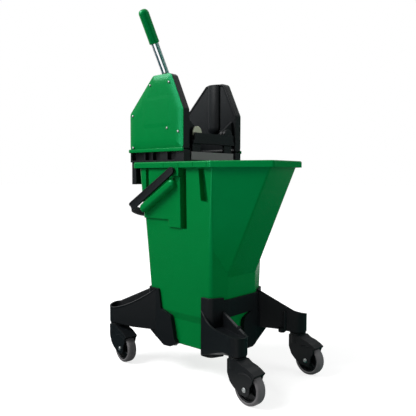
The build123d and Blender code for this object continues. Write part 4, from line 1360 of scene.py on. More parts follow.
@dataclass
class Lever:
    """The bright lever tube with its green grip.

    Attributes:
        x: X of the lever's plane.
        y: Y of its upright foot.
        foot: Height of the foot.
        bend_start: Height at which it begins to bend out.
        bend: Radius of the bend.
        lean: How far the upper part leans out, in degrees.
        straight: Length of the leaning part.
        radius: Outer radius of the tube.
        wall: Wall of the tube.
        sides: Sides of the tube's round.
        grip_radius: Radius of the grip.
        grip_length: Length of the grip below the tube's end.
        grip_cap: Thickness of the grip's closed end.
    """

    x: float = -48.0
    y: float = -82.0
    foot: float = 640.0
    bend_start: float = 706.0
    bend: float = 60.0
    lean: float = 28.5
    straight: float = 171.0
    radius: float = 9.5
    wall: float = 1.5
    sides: int = 40
    grip_radius: float = 12.5
    grip_length: float = 78.0
    grip_cap: float = 4.0

    def build(self, shop: Shop) -> None:
        """Models the tube and the grip.

        Args:
            shop: Fits the finished pieces to the frame.
        """
        bend_length = self.bend * math.radians(self.lean)
        upright = self.bend_start - self.foot
        whole = upright + bend_length + self.straight
        marks = [0.0, upright / 2, upright]
        steps = 12
        marks += [upright + bend_length * k / steps for k in range(1, steps + 1)]
        marks += [whole - self.straight * 0.5, whole]
        outer = [self.ring(mark, self.radius, self.sides) for mark in marks]
        inner = [self.ring(mark, self.radius - self.wall, self.sides) for mark in reversed(marks)]
        tube = Bench.loft("lever_pipe", [*outer, *inner, outer[0]], capped=False)
        shop.fit(tube, Body.FRONT_JAW.value, Slot.CHROME, "lever_tube")

        r, low, dome = self.grip_radius, whole - self.grip_length, 6.0
        shoulder = whole - dome
        bore = self.radius + 0.05
        profile = [
            (bore, whole + 0.05), (bore, low), (r - 1.2, low), (r - 0.3, low + 0.5), (r + 0.2, low + 1.8),
            (r + 0.1, low + 4.0), (r - 0.2, low + 7.0), (r, shoulder),
        ]
        for c, s in Corners.arc((12, 28, 44, 60, 75, 86)):
            profile.append((r * c ** 0.8, shoulder + (self.grip_cap + dome) * s))
        grip = Bench.loft("lever_handgrip", [self.ring(mark, radius, 48) for radius, mark in profile])
        shop.fit(grip, Body.FRONT_JAW.value, Slot.GREEN, "lever_grip", degrees=50.0)

    def ring(self, mark: float, radius: float, steps: int) -> Ring:
        """Draws a circle round the lever's path.

        Args:
            mark: Distance along the path from the foot.
            radius: The circle's radius.
            steps: Number of points.

        Returns:
            The circle's points.
        """
        upright = self.bend_start - self.foot
        lean = math.radians(self.lean)
        turn = min(max((mark - upright) / self.bend, 0.0), lean)
        beyond = max(mark - upright - self.bend * lean, 0.0)
        y = self.y - self.bend * (1 - math.cos(turn)) - beyond * math.sin(lean)
        z = min(self.foot + mark, self.bend_start) + self.bend * math.sin(turn) + beyond * math.cos(lean)
        circle = Corners.circle(radius, steps)
        return [(self.x + a, y + b * math.cos(turn), z + b * math.sin(turn)) for a, b in circle]


@dataclass
class WringerBody:
    """The frame, the end panel and the drain grid, with rounded edges.

    Attributes:
        softness: Width of the rounding for each CAD node.
    """

    softness: dict[str, float] = field(default_factory=lambda: {
        "wringer_frame": 0.9, "end_panel": 0.7, "drain_grid": 0.6,
    })

    def build(self, shop: Shop) -> None:
        """Rounds the edges of every piece.

        Args:
            shop: Fits the finished pieces to the frame.
        """
        for node, width in self.softness.items():
            piece = Bench.softened(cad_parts[node], f"{node}_soft", width)
            shop.fit(piece, Body.WRINGER.value, slot_of(node), node)


@dataclass
class JawPlates:
    """The two black jaws: pointed plates with a shallow panel, a bulge and two hinge lugs.

    Attributes:
        lap: How far the plates stand back from the covers' outline.
        corners: Radii of the plates' corners, from the lower left on.
        inner: Distance of the inner face from the middle plane.
        outer: Distance of the outer face.
        hollow: Distance of the hollow's floor behind the cover.
        edge: Wall round the hollow.
        recess: Depth of the panel on the inner face.
        bulge: Left, right and lowest place of the bulge.
        front_reach: How far the front jaw's bulge stands out; it holds the lever.
        rear_reach: The same for the rear jaw.
        lugs: X of the two lugs.
        lug_width: Width of the lugs.
        lug_radius: Radius of the lugs' round ends.
        lug_roots: How far below and above the hinge the lugs meet the plate.
        hinge: Distance of the hinge from the middle plane, and its height.
        bore: Radius of the bore for the hinge pin.
        lever_pin: Height, half length and radius of the lever's cross pin.
    """

    lap: float = 0.8
    corners: tuple[float, ...] = (5.0, 5.0, 14.0, 14.0, 14.0, 14.0)
    inner: float = 88.0
    outer: float = 110.0
    hollow: float = 98.0
    edge: float = 5.2
    recess: float = 2.0
    bulge: Point = (-71.0, -29.0, 607.0)
    front_reach: float = 20.0
    rear_reach: float = 8.0
    lugs: Pair = (-150.0, 8.0)
    lug_width: float = 8.0
    lug_radius: float = 15.0
    lug_roots: Pair = (30.0, 42.0)
    hinge: Pair = (60.0, 602.0)
    bore: float = 6.1
    lever_pin: Point = (662.0, 18.3, 3.1)

    def build(self, shop: Shop) -> None:
        """Models both jaws; the front one is drilled for the lever.

        Args:
            shop: Fits the finished pieces to the frame.
        """
        front = self._jaw("front_jaw_skin", self.front_reach)
        Bench.carve(front, "DIFFERENCE", *self._lever_drills())
        master = self._jaw("rear_jaw_master", self.rear_reach)
        rear = Bench.mirrored(master, "rear_jaw_skin")
        bpy.data.objects.remove(master)
        shop.fit(front, Body.FRONT_JAW.value, Slot.BLACK, "front_jaw", degrees=30.0)
        shop.fit(rear, Body.REAR_JAW.value, Slot.BLACK, "rear_jaw", degrees=30.0)

    def _lever_drills(self) -> tuple[Piece, Piece]:
        """Makes the drills for the lever and for its cross pin.

        Returns:
            The two solids.
        """
        lever = Lever()
        upright = lever.bend_start - lever.foot
        marks = [0.0] + [upright + 3.0 * k for k in range(18)]
        rod = [lever.ring(mark, lever.radius + 0.1, lever.sides) for mark in marks]
        height, half, radius = self.lever_pin
        pin = ((radius, lever.x - half), (radius, lever.x + half))
        return (
            Bench.loft("rod_drill", rod),
            Bench.turned("pin_drill", pin, (lever.y, height), 20, Axis.X),
        )

    def _jaw(self, name: str, reach: float) -> Piece:
        """Models a front jaw.

        Args:
            name: The new object's name.
            reach: How far its bulge stands out from the inner face.

        Returns:
            The solid.
        """
        place = Corners.on_front
        outline = CoverPlate().outline
        near, far, lap, edge = self.inner, self.outer, self.lap, self.lap + self.edge
        floor = near + self.recess
        levels = (
            (self.hollow, edge + 1.2), (self.hollow + 0.3, edge + 0.3), (self.hollow + 1.2, edge),
            (far - 0.8, edge), (far - 0.2, edge - 0.3), (far, edge - 0.9),
            (far, lap + 0.9), (far - 0.2, lap + 0.3), (far - 0.8, lap),
            (near + 2.6, lap), (near + 1.0, lap + 0.5), (near + 0.2, lap + 1.5), (near, lap + 2.6),
            (near, lap + 4.0), (near + 0.3, lap + 5.0), (floor - 0.5, lap + 6.6), (floor, lap + 8.0),
        )
        jaw = Bench.boss(name, outline, self.corners, levels, place, 7)
        bulge = self._bulge(reach)
        past_bulge, past_cover = 40.0, 120.0
        levels = ((past_bulge, lap + 0.8), (past_cover, lap + 0.8))
        trim = Bench.boss("trim", outline, self.corners, levels, place, 7)
        Bench.carve(bulge, "INTERSECT", trim)
        Bench.carve(jaw, "UNION", bulge)
        right, low = self.bulge[1:]
        above_plate, off_plate = 760.0, 60.0
        line = Corners.box(right - 0.4, right + 1.6, low + 16.0, above_plate)
        levels = ((floor + 2.0, 0.0), (off_plate, 0.0))
        Bench.carve(jaw, "DIFFERENCE", Bench.boss("line", line, 0.8, levels, place))
        for x in self.lugs:
            Bench.carve(jaw, "UNION", self._lug(x))
        (y, z), over = self.hinge, 3.0
        for x in self.lugs:
            drill = ((self.bore, x - over), (self.bore, x + self.lug_width + over))
            Bench.carve(jaw, "DIFFERENCE", Bench.turned("lug_drill", drill, (-y, z), 32, Axis.X))
        return jaw

    def _bulge(self, reach: float) -> Piece:
        """Models the half-round bulge that runs up the inner face.

        Args:
            reach: How far it stands out from the inner face.

        Returns:
            The solid.
        """
        left, right, low = self.bulge
        half = (right - left) / 2.0
        above_plate = 790.0
        outline = Corners.box(left, right, low, above_plate)
        sunk = self.recess + 1.0
        foot = self.inner + sunk
        levels = [(foot + 1.5, 0.0)]
        for c, s in Corners.arc(range(0, 91, 10)):
            levels.append((foot - (reach + sunk) * s, half * 0.97 * (1 - c)))
        return Bench.boss("bulge", outline, half - 0.02, levels, Corners.on_front, 9)

    def _lug(self, x: float) -> Piece:
        """Models one hinge lug.

        Args:
            x: X of its face towards the back.

        Returns:
            The solid.
        """
        y, z = self.hinge
        below, above = self.lug_roots
        root = self.inner + self.recess + 4.0
        r = self.lug_radius
        round_end = [(y + r * c, z + r * s) for c, s in Corners.arc(range(250, 109, -10))]
        ring = [(root, z - below), *round_end, (root, z + above)]
        lug = Bench.loft("lug", [[(px, -py, pz) for py, pz in ring] for px in (x, x + self.lug_width)])
        Bench.soften(lug, 0.8)
        return lug


@dataclass
class PivotBushes:
    """The flanged bushes in the frame's posts, closed over the ends of the hinge pins.

    Attributes:
        posts: X of the outer faces of the back and the spout post.
        post: Thickness of the posts.
        flange: Radius and thickness of the flanges.
        sleeve: Outer radius of the sleeves.
        bore: Radius of the bore for the pin.
        hinge: Distance of the hinges from the middle plane, and their height.
    """

    posts: Pair = (-160.0, 24.0)
    post: float = 6.0
    flange: Pair = (15.5, 3.18)
    sleeve: float = 8.05
    bore: float = 6.05
    hinge: Pair = (60.0, 602.0)

    def build(self, shop: Shop) -> None:
        """Models the bushes of both jaws.

        Args:
            shop: Fits the finished pieces to the frame.
        """
        front = self._bush(self.posts[0], -1)
        front.name = "front_bushes_skin"
        Bench.join(front, self._bush(self.posts[1], 1))
        rear = Bench.mirrored(front, "rear_bushes_skin")
        for piece, node in ((front, "front_pivot_bushes"), (rear, "rear_pivot_bushes")):
            shop.fit(piece, Body.WRINGER.value, slot_of(node), node)

    def _bush(self, face: float, way: int) -> Piece:
        """Models one front bush.

        Args:
            face: X of the post's outer face.
            way: 1 where the flange faces the spout, -1 where it faces the back.

        Returns:
            The solid.
        """
        radius, out = self.flange
        cap, middle = 0.14, 0.4
        inside = out - cap
        profile = (
            (middle, inside), (self.bore, inside), (self.bore, -self.post), (self.sleeve, -self.post),
            (self.sleeve, 0.0), (radius, 0.0), (radius, out - 1.2), (radius - 0.4, out - 0.5),
            (radius - 1.3, out - 0.05), (radius - 3.0, out), (middle, out),
        )
        y, z = self.hinge
        rows = [(r, face + way * along) for r, along in profile]
        return Bench.turned("bush", rows, (-y, z), 40, Axis.X)


@dataclass(frozen=True)
class ArmShape:
    """The heights of one kind of castor arm. Each pair is given for the outer and the inner side.

    Attributes:
        rise: Height of the lip at the root.
        end: Height of the lip at the round end.
        fall: How the lip falls between them: 1 is straight, more is steeper at the root.
        sole: Height of the underside at the root.
        level: Share of the arm, from the end, over which the underside stays level.
        ramp: Share of the arm over which it then falls to the sole.
        overlap: How far the outer side runs on into the leg.
    """

    rise: Pair
    end: Pair
    fall: Pair
    sole: Pair
    level: float
    ramp: float
    overlap: float

    @staticmethod
    def between(pair: Pair, tilt: float) -> float:
        """Mixes the values outside, at a tilt of 1, and inside, at a tilt of -1."""
        return pair[0] * (1 + tilt) / 2 + pair[1] * (1 - tilt) / 2

    def lip(self, left: float, tilt: float) -> float:
        """Finds the lip's height from the share of the arm left to its end and the tilt."""
        end = self.between(self.end, tilt)
        return end + (self.between(self.rise, tilt) - end) * left ** self.between(self.fall, tilt)

    def underside(self, left: float, tilt: float, level: float) -> float:
        """Finds the underside's height in the same way, from its level at the end."""
        share = min(max((left - self.level) / self.ramp, 0.0), 1.0)
        return level + (self.between(self.sole, tilt) - level) * share


LOW_ARM = ArmShape((176.0, 174.0), (144.5, 143.0), (6.0, 1.0), (65.0, 92.0), 0.25, 0.75, 3.0)
HIGH_ARM = ArmShape((205.0, 205.0), (143.5, 153.0), (1.55, 1.0), (95.5, 107.0), 0.1, 0.35, 8.0)


@dataclass
class CastorBracket:
    """A black bracket that wraps one end of the base and reaches out to two castors.

    Attributes:
        name: Name of the CAD node.
        end: 1 towards the spout and -1 at the back.
        inner_x: X of the arms' roots beside the end face.
        half: Half the width over the legs.
        leg_inner: Where the arms' inner roots lie, from the middle plane.
        arm_low: Height of the arms' underside.
        stem: X and Y of the castor stems.
        end_radius: Radius of the arms' round ends.
        pocket: Height of the pocket's floor in the arms.
        skin: Wall of the arms.
        root_x: X of the arms' roots on the side walls.
        wrap: How far the wrap stands out from the bucket's plan at its upper edge.
        softness: Width of the rounding on the wrap's edges.
        rib: Share of the arm's length, radius and top of the upright rib on its inner side.
        nub: Share of the way from the root to that rib, and radius, of the nub below.
        socket_radius: Radius of the bore for the stem's socket.
        socket_top: Height of that bore's end.
        bottom: Height of the sole.
        top: Height of the legs' upper edges.
        band: Low and high edge of the band across the end.
        short_leg: Corners of the short leg, as distance towards the end and height.
        long_leg: Corners of the long leg.
        tongue: Corners of the tongue on the end face, as distance from the middle plane and height.
        web: Outline of the web between the tongue and the high arm, in the end's own coordinates.
        web_span: Distances of the web's two faces, towards the end.
    """

    name: str
    end: int
    inner_x: float
    half: float = 102.6
    leg_inner: float = 68.6
    arm_low: float = 101.0
    stem: Pair = (206.6, 123.7)
    end_radius: float = 22.0
    pocket: float = 136.0
    skin: float = 4.0
    root_x: float = 80.0
    wrap: float = 5.5
    softness: float = 1.2
    rib: Point = (0.7, 5.0, 156.0)
    nub: Pair = (0.9, 9.0)
    socket_radius: float = 9.1
    socket_top: float = 133.0
    bottom: float = 64.0
    top: float = 206.0
    band: Pair = (157.0, 200.0)
    short_leg: Pairs = ((77, 64), (140, 64), (140, 206), (77, 206))
    long_leg: Pairs = (
        (7, 73), (27, 64), (51, 63), (106, 96.5), (140, 99), (140, 206), (69, 206), (61.5, 156.5),
        (25.5, 143), (13, 86), (7, 79),
    )
    tongue: Pairs = (
        (4, 76), (14, 64), (40, 63.5), (50, 68), (66, 78), (66, 160), (34, 157), (8, 145), (4, 132),
    )
    web: Pairs = (
        (48, 67), (101, 100), (105, 104), (97, 109), (81, 124), (67, 143), (59, 160), (48, 160),
    )
    web_span: Pair = (119.5, 126.2)

    def build(self, shop: Shop) -> None:
        """Models the wrap and both arms, and joins them.

        Args:
            shop: Fits the finished piece to the frame.
        """
        bucket = BucketSkin()
        bracket = self._band(bucket)
        for side in (-1, 1):
            high = side == self.end
            leg = self._leg(bucket, side, self.long_leg if high else self.short_leg)
            arm = self._arm(bucket, side, HIGH_ARM if high else LOW_ARM)
            Bench.join(bracket, leg, arm)
        shop.fit(bracket, Body.BUCKET.value, Slot.BLACK, self.name, degrees=40.0)

    def _wrapped(self, bucket: BucketSkin, slab: Piece, grow: float) -> Piece:
        """Keeps only the part of a slab that lies on the bucket's base like a thick skin.

        Args:
            bucket: The bucket.
            slab: A solid across the base, used up here.
            grow: Thickness of the skin at its upper edge.

        Returns:
            The wrapped piece.
        """
        Bench.carve(slab, "INTERSECT", bucket.prism(self.top, grow, self.bottom - 5.0, self.top + 5.0))
        Bench.carve(slab, "DIFFERENCE", bucket.core())
        Bench.soften(slab, self.softness)
        return slab

    def _leg(self, bucket: BucketSkin, side: int, outline: Sequence[Pair]) -> Piece:
        """Models the leg on one side wall, round the corner to the end.

        Args:
            bucket: The bucket.
            side: 1 at the rear and -1 at the front.
            outline: The leg's corners, as distance towards its end and height.

        Returns:
            The solid.
        """
        def place(x: float, z: float, out: float) -> Point:
            """Turns the leg's own coordinates into the object's."""
            return (self.end * x, side * out, z)

        past_wrap = self.half + 6.0
        levels = ((self.leg_inner, 0.0), (past_wrap, 0.0))
        slab = Bench.boss("bracket_leg", outline, 4.0, levels, place, 3)
        return self._wrapped(bucket, slab, self.wrap)

    def _band(self, bucket: BucketSkin) -> Piece:
        """Models the band across the end with its hanging tongue and its web.

        Args:
            bucket: The bucket.

        Returns:
            The solid.
        """
        def place(y: float, z: float, x: float) -> Point:
            """Turns the end's own coordinates into the object's."""
            return (self.end * x, self.end * y, z)

        inside, past_wrap = 64.0, 160.0
        reach = ((inside, 0.0), (past_wrap, 0.0))
        half = self.leg_inner + 2.0
        across = Corners.box(-half, half, *self.band)
        band = Bench.boss(f"{self.name}_skin", across, 0.5, reach, place, 2)
        band = self._wrapped(bucket, band, self.wrap - 0.4)
        tongue = Bench.boss("bracket_tongue", self.tongue, 5.0, reach, place, 4)
        web = Bench.boss("bracket_web", self.web, 2.0, [(x, 0.0) for x in self.web_span], place, 3)
        Bench.carve(web, "DIFFERENCE", bucket.core())
        Bench.soften(web, self.softness)
        Bench.join(band, self._wrapped(bucket, tongue, self.wrap - 0.8), web)
        return band

    def _arm(self, bucket: BucketSkin, side: int, shape: ArmShape) -> Piece:
        """Models one arm as a tub with a rounded lip.

        Args:
            bucket: The bucket.
            side: 1 at the rear and -1 at the front.
            shape: The arm's heights.

        Returns:
            The solid.
        """
        stem = Vector((self.end * self.stem[0], side * self.stem[1]))
        outer = Vector((self.end * self.root_x, side * self.half))
        inner = Vector((self.inner_x, side * self.leg_inner))
        plan = self._plan(stem, outer, inner, shape.overlap)
        middle = (outer + inner) / 2.0
        axis = (stem - middle).normalized()
        across = Vector((-axis.y, axis.x))
        root_half = (outer - middle).dot(across)
        if root_half < 0.0:
            across, root_half = -across, -root_half
        over = 1.05
        runs = [(a, self._touch(stem, a, b) - a) for a, b in ((outer, inner), (inner, outer))]

        def spot(x: float, y: float) -> Pair:
            """Finds where a place of the plan lies on the arm.

            Args:
                x: X of the place.
                y: Y of the place.

            Returns:
                The share of the arm that is left to its end, and the tilt to its outer side.
            """
            place = Vector((x, y))
            done = [(place - root).dot(run) / run.length_squared / over for root, run in runs]
            left = [1.0 - min(max(share, 0.0), 1.0) for share in done]
            half = self.end_radius + (root_half - self.end_radius) * sum(left) / 2.0
            tilt = min(max((place - middle).dot(across) / half, -1.0), 1.0)
            return shape.between((left[0], left[1]), tilt), tilt

        def top(x: float, y: float) -> float:
            """Height of the lip over a place of the plan."""
            return shape.lip(*spot(x, y))

        def low(x: float, y: float) -> float:
            """Height of the underside over a place of the plan."""
            return shape.underside(*spot(x, y), self.arm_low)

        def pocket(x: float, y: float) -> float:
            """Height of the pocket's floor, the same all over."""
            return self.pocket

        skin = self.skin
        rows = (
            (-2.4, low, 0.0), (-0.7, low, 0.7), (0.0, low, 2.4),
            (0.0, top, -5.0), (0.0, top, -3.0), (0.7, top, -1.8), (0.6, top, -0.6), (-0.4, top, 0.0),
            (-skin + 1.6, top, 0.0), (-skin + 0.5, top, -0.6), (-skin, top, -2.0),
            (-skin, pocket, 3.0), (-skin - 0.9, pocket, 0.9), (-skin - 3.0, pocket, 0.0),
        )
        rings = []
        for grow, level, rise in rows:
            rings.append([(x, y, level(x, y) + rise) for x, y, _ in Corners.grown(plan, grow)])
        arm = Bench.loft("bracket_arm", rings)
        centre = (self.end * self.stem[0], side * self.stem[1])
        profile = ((self.socket_radius, self.arm_low - 5.0), (self.socket_radius, self.socket_top))
        bore = Bench.turned("socket_drill", profile, centre, 32)
        Bench.carve(arm, "DIFFERENCE", bucket.core(), bore)
        share, r, rib_top = self.rib
        rib = inner.lerp(self._touch(stem, inner, outer), share)
        foot = low(*rib)
        profile = ((r, foot - 1.0), (r, rib_top - 4.0), (r * 0.8, rib_top - 1.4), (0.6, rib_top))
        Bench.carve(arm, "UNION", Bench.turned("bracket_rib", profile, tuple(rib), 24))
        share, r = self.nub
        nub = inner.lerp(rib, share)
        profile = ((r - 1.2, foot - 4.5), (r, foot - 3.3), (r, foot + 6.0))
        Bench.carve(arm, "UNION", Bench.turned("bracket_nub", profile, tuple(nub), 28))
        return arm

    def _touch(self, stem: Vector, root: Vector, other: Vector) -> Vector:
        """Finds where the line from a root touches the round end, away from the other root.

        Args:
            stem: Middle of the round end.
            root: Where the line starts.
            other: The other side's root.

        Returns:
            The place.
        """
        away = root - stem
        lean = math.acos(self.end_radius / away.length)
        base = math.atan2(away.y, away.x)
        turns = (base - lean, base + lean)
        spots = [stem + Vector((math.cos(a), math.sin(a))) * self.end_radius for a in turns]
        return max(spots, key=lambda spot: (spot - other).length)

    def _plan(self, stem: Vector, outer: Vector, inner: Vector, overlap: float) -> Ring:
        """Lays out an arm's plan: two long sides, a round end and a root inside the wrap.

        Args:
            stem: Middle of the round end.
            outer: Root of the outer side.
            inner: Root of the inner side.
            overlap: How far the outer side runs on into the leg.

        Returns:
            The plan's points, anticlockwise.
        """
        steps, inner_overlap = 16, 8.0
        outer_touch, inner_touch = self._touch(stem, outer, inner), self._touch(stem, inner, outer)
        outer_start = outer - (outer_touch - outer).normalized() * overlap
        inner_start = inner - (inner_touch - inner).normalized() * inner_overlap
        out = stem - (outer + inner) / 2.0
        aim = math.atan2(out.y, out.x)
        turns = []
        for touch in (outer_touch - stem, inner_touch - stem):
            turns.append((math.atan2(touch.y, touch.x) - aim + math.pi) % math.tau - math.pi)
        points = [outer_start.lerp(outer_touch, k / steps) for k in range(steps + 1)]
        for k in range(1, steps):
            a = aim + turns[0] + (turns[1] - turns[0]) * k / steps
            points.append(stem + Vector((math.cos(a), math.sin(a))) * self.end_radius)
        points += [inner_touch.lerp(inner_start, k / steps) for k in range(steps + 1)]
        ring = [(p.x, p.y, 0.0) for p in points]
        area = sum(a[0] * b[1] - b[0] * a[1] for a, b in zip(ring, ring[1:] + ring[:1]))
        return ring if area > 0 else list(reversed(ring))


@dataclass
class Castors:
    """The four swivel castors. One is modelled about its stem, wheel trailing along +X, and copied.

    Attributes:
        stem: X and Y of the stems.
        yaws: Turn of each castor about its stem, in degrees.
        trail: Distance of the axle behind the stem.
        wheel_radius: Radius of the wheel.
        tyre_width: Width of the tyre.
        tyre_depth: Depth of the tyre's ring.
        fork_half: Half the width of the fork.
        leg: Thickness of the fork's legs.
        neck_radius: Radius of the neck under the bracket.
        neck: Low and high end of the neck.
        hood: Radius of the hood over the wheel.
        hood_swells: Angles above the axle, and how much fuller the hood is there.
        room: Gap between wheel and fork.
        axle_radius: Radius of the axle.
        stem_radius: Radius of the stem's hole.
        bead: Section of the raised arc on the hood, as radius round the axle and height.
        bead_turns: First angle of the arc above the axle, and how far it goes on.
        spokes: Angles of the hub's spokes.
    """

    stem: Pair = (206.6, 123.7)
    yaws: dict[str, float] = field(default_factory=lambda: {
        "front_left": -8.0, "front_right": -5.0, "rear_left": -8.0, "rear_right": -5.0,
    })
    trail: float = 37.0
    wheel_radius: float = 37.5
    tyre_width: float = 25.0
    tyre_depth: float = 8.5
    fork_half: float = 18.0
    leg: float = 4.0
    neck_radius: float = 20.0
    neck: Pair = (73.0, 98.7)
    hood: float = 45.5
    hood_swells: Pairs = ((66, 0.8), (82, 2.6), (98, 6.0))
    room: float = 2.5
    axle_radius: float = 4.0
    stem_radius: float = 5.6
    bead: Pairs = ((34.0, -1.0), (34.2, 0.7), (35.2, 1.2), (36.4, 1.2), (37.4, 0.7), (37.6, -1.0))
    bead_turns: Pair = (52.0, 66.0)
    spokes: tuple[float, ...] = (90.0, 210.0, 330.0)

    def build(self, shop: Shop) -> None:
        """Models the four pieces of a castor and sets a copy of each at every corner.

        Args:
            shop: Fits the finished pieces to the frame.
        """
        masters = (
            ("castor_fork", "castor", Slot.BLACK, self._fork()),
            ("castor_axle", "castor", Slot.STEEL, self._axle()),
            ("wheel_hub", "wheel", Slot.BLACK, self._hub()),
            ("wheel_tyre", "wheel", Slot.TYRE, self._tyre()),
        )
        for corner, yaw in self.yaws.items():
            x = self.stem[0] if "right" in corner else -self.stem[0]
            y = self.stem[1] if "rear" in corner else -self.stem[1]
            spot = Matrix.Translation((x * MM, y * MM, 0.0)) @ Matrix.Rotation(math.radians(yaw), 4, "Z")
            for piece, body, slot, master in masters:
                copy = Bench.copied(master, f"{piece}_{corner}_skin", spot)
                shop.fit(copy, f"{body}_{corner}", slot, f"{piece}_{corner}", degrees=38.0)
        for *_, master in masters:
            bpy.data.objects.remove(master)

    def _turned(self, name: str, profile: Sequence[Pair], steps: int, capped: bool = True) -> Piece:
        """Turns pairs of radius and distance from the wheel's middle about the axle."""
        return Bench.turned(name, profile, (self.trail, self.wheel_radius), steps, Axis.Y, capped)

    def _ringed(self, name: str, side: Sequence[Pair], steps: int) -> Piece:
        """Turns one side's profile and its mirror image about the axle, as one closed ring."""
        profile = [(radius, -y) for radius, y in side] + list(reversed(side))
        return self._turned(name, profile, steps, capped=False)

    def _hood_point(self, angle: float, radius: float) -> Pair:
        """Finds a point round the axle from an angle above it."""
        a = math.radians(angle)
        return (self.trail + radius * math.cos(a), self.wheel_radius + radius * math.sin(a))

    def _fork(self) -> Piece:
        """Models the fork: a rounded slab with a hood, a neck and a cavity for the wheel.

        Returns:
            The solid.
        """
        fork = Bench.loft("fork_master", self._fork_rings())
        high, n = self.neck[1], self.neck_radius
        neck = (
            (n, self.neck[0]), (n, high - 4.6), (n - 0.9, high - 4.1), (n - 0.9, high - 3.1),
            (n, high - 2.6), (n, high - 0.6), (n - 0.6, high),
        )
        Bench.carve(fork, "UNION", Bench.turned("neck", neck))
        inside, wide = self.fork_half - self.leg, self.wheel_radius + self.room
        cavity = self._turned("cavity", ((wide, -inside), (wide, inside)), 72)
        loose, past_fork = self.axle_radius + 0.1, 30.0
        bore = self._turned("bore", ((loose, -past_fork), (loose, past_fork)), 24)
        stem = Bench.turned("stem_bore", [(self.stem_radius, z) for z in (81.0, 110.0)], steps=24)
        Bench.carve(fork, "DIFFERENCE", cavity, bore, stem)
        Bench.join(fork, *(self._bead(side) for side in (-1, 1)))
        return fork

    def _fork_rings(self) -> list[Ring]:
        """Draws the fork's side view, once for each station across its width.

        Returns:
            The rings, from the one side to the other.
        """
        r, t = self.wheel_radius, self.trail
        outline = [
            (-15.5, 94.0, 2.0), (-15.5, 63.0, 16.0), (-7.5, 45.0, 12.0), (4.0, 34.5, 14.0),
            (t - 12.0, r - 13.5, 10.0), (t + 9.0, r - 14.5, 10.0), (t + 14.5, r - 4.0, 8.0),
            (t + 15.0, r + 9.0, 6.0), (t + 21.0, r + 18.0, 6.0), (t + 24.5, r + 29.0, 4.0),
            (*self._hood_point(50, self.hood + 1.2), 1.2),
        ]
        for angle, swell in self.hood_swells:
            outline.append((*self._hood_point(angle, self.hood + swell), 12.0))
        outline += [(22.0, 92.5, 4.0), (18.5, 95.0, 1.0)]
        drawn = Corners.rounded([(x, z, 0.0) for x, z, _ in outline], [radius for *_, radius in outline], 5)
        middle = Vector((t * 0.45, r + 25.0))
        half = self.fork_half
        edge = ((half, 1.6), (half - 0.5, 0.5), (half - 1.6, 0.0))
        rings = []
        for y, inset in [(-y, inset) for y, inset in edge] + list(reversed(edge)):
            ring = []
            for x, z, _ in drawn:
                away = Vector((x, z)) - middle
                pulled = middle + away * (1.0 - inset / max(away.length, 1.0))
                ring.append((pulled.x, y, pulled.y))
            rings.append(ring)
        return rings

    def _bead(self, side: int) -> Piece:
        """Models the raised arc on one side of the hood.

        Args:
            side: 1 or -1.

        Returns:
            The solid.
        """
        first, span = self.bead_turns
        middle, steps = 35.8, 14
        rings = []
        for k in range(steps + 1):
            taper = 1.0 if 0 < k < steps else 0.3
            ring = []
            for radius, out in self.bead:
                x, z = self._hood_point(first + span * k / steps, middle + (radius - middle) * taper)
                ring.append((x, side * (self.fork_half + out * (taper if out > 0 else 1.0)), z))
            rings.append(ring)
        return Bench.loft("bead", rings)

    def _axle(self) -> Piece:
        """Models the axle with its two domed heads.

        Returns:
            The solid.
        """
        a, end = self.axle_radius, self.fork_half + 0.05
        half = (
            (a, end), (a + 1.5, end), (a + 1.5, end + 1.2), (a + 0.9, end + 2.0), (a - 1.2, end + 2.6),
            (0.3, end + 2.8),
        )
        return self._turned("axle_master", [(radius, -y) for radius, y in reversed(half)] + list(half), 28)

    def _hub(self) -> Piece:
        """Models the wheel's black centre with a deep recess on both sides and three spokes.

        Returns:
            The solid.
        """
        rim = self.wheel_radius - self.tyre_depth
        boss = self.fork_half - self.leg - 0.4
        side = (
            (self.axle_radius + 0.05, boss), (8.2, boss), (9.0, boss - 0.8), (9.6, 4.4), (11.0, 3.5),
            (rim - 4.4, 3.5), (rim - 3.2, 4.6), (rim - 3.0, 9.6), (rim - 2.2, 10.5), (rim, 10.5),
        )
        hub = self._ringed("hub_master", side, 64)
        outline = Corners.box(8.0, rim - 2.0, -2.0, 2.0)
        levels = ((-9.0, 0.6), (-8.4, 0.0), (8.4, 0.0), (9.0, 0.6))
        for c, s in Corners.arc(self.spokes):
            def place(along: float, across: float, y: float) -> Point:
                """Turns a spoke's own coordinates into the wheel's."""
                return (self.trail + along * c - across * s, y, self.wheel_radius + along * s + across * c)

            Bench.join(hub, Bench.boss("spoke", outline, 0.8, levels, place))
        return hub

    def _tyre(self) -> Piece:
        """Models the tyre's ring with round shoulders.

        Returns:
            The solid.
        """
        r, half = self.wheel_radius, self.tyre_width / 2
        inner = r - self.tyre_depth + 0.05
        side = (
            (inner, half - 1.2), (inner + 0.8, half - 0.3), (inner + 2.4, half), (r - 4.4, half - 0.3),
            (r - 2.4, half - 1.5), (r - 0.9, half - 3.4), (r - 0.15, half - 5.8), (r, half - 8.0),
        )
        return self._ringed("tyre_master", side, 96)


NODE_SLOTS: dict[str, Slot] = {
    "bucket_shell": Slot.GREEN,
    "front_cover": Slot.GREEN,
    "rear_cover": Slot.GREEN,
    "lever_grip": Slot.GREEN,
    "end_panel": Slot.GREY,
    "front_pivot_bushes": Slot.NYLON,
    "lever_tube": Slot.CHROME,
}
STEEL_WORDS = ("screws", "axle", "castor_stem", "pin")


def slot_of(node: str) -> Slot:
    """Finds the slot that a CAD node is made in.

    Args:
        node: The node's name.

    Returns:
        The slot.
    """
    if node in NODE_SLOTS:
        return NODE_SLOTS[node]
    if node.startswith("wheel_tyre"):
        return Slot.TYRE
    if any(word in node for word in STEEL_WORDS):
        return Slot.STEEL
    return Slot.BLACK


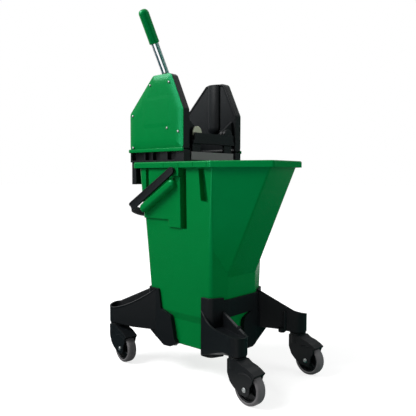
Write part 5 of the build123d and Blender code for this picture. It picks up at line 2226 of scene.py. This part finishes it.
def main() -> None:
    """Builds the scene piece by piece."""
    logging.basicConfig(level=logging.INFO, format="%(name)s: %(message)s")
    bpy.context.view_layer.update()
    Studio().build()
    shop = Shop()
    for name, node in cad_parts.items():
        shop.dress(node, slot_of(name))
        log.info("dressed %s", name)
    brackets = (
        CastorBracket("castor_bracket_right", 1, 122.0),
        CastorBracket("castor_bracket_left", -1, -112.0),
    )
    wringer = (CoverPlate(), JawPlates(), Lever(), PivotBushes(), WringerBody())
    for assembly in (BucketSkin(), BailHandle(), *wringer, *brackets, Castors()):
        assembly.build(shop)


if __name__ == "__main__":
    main()
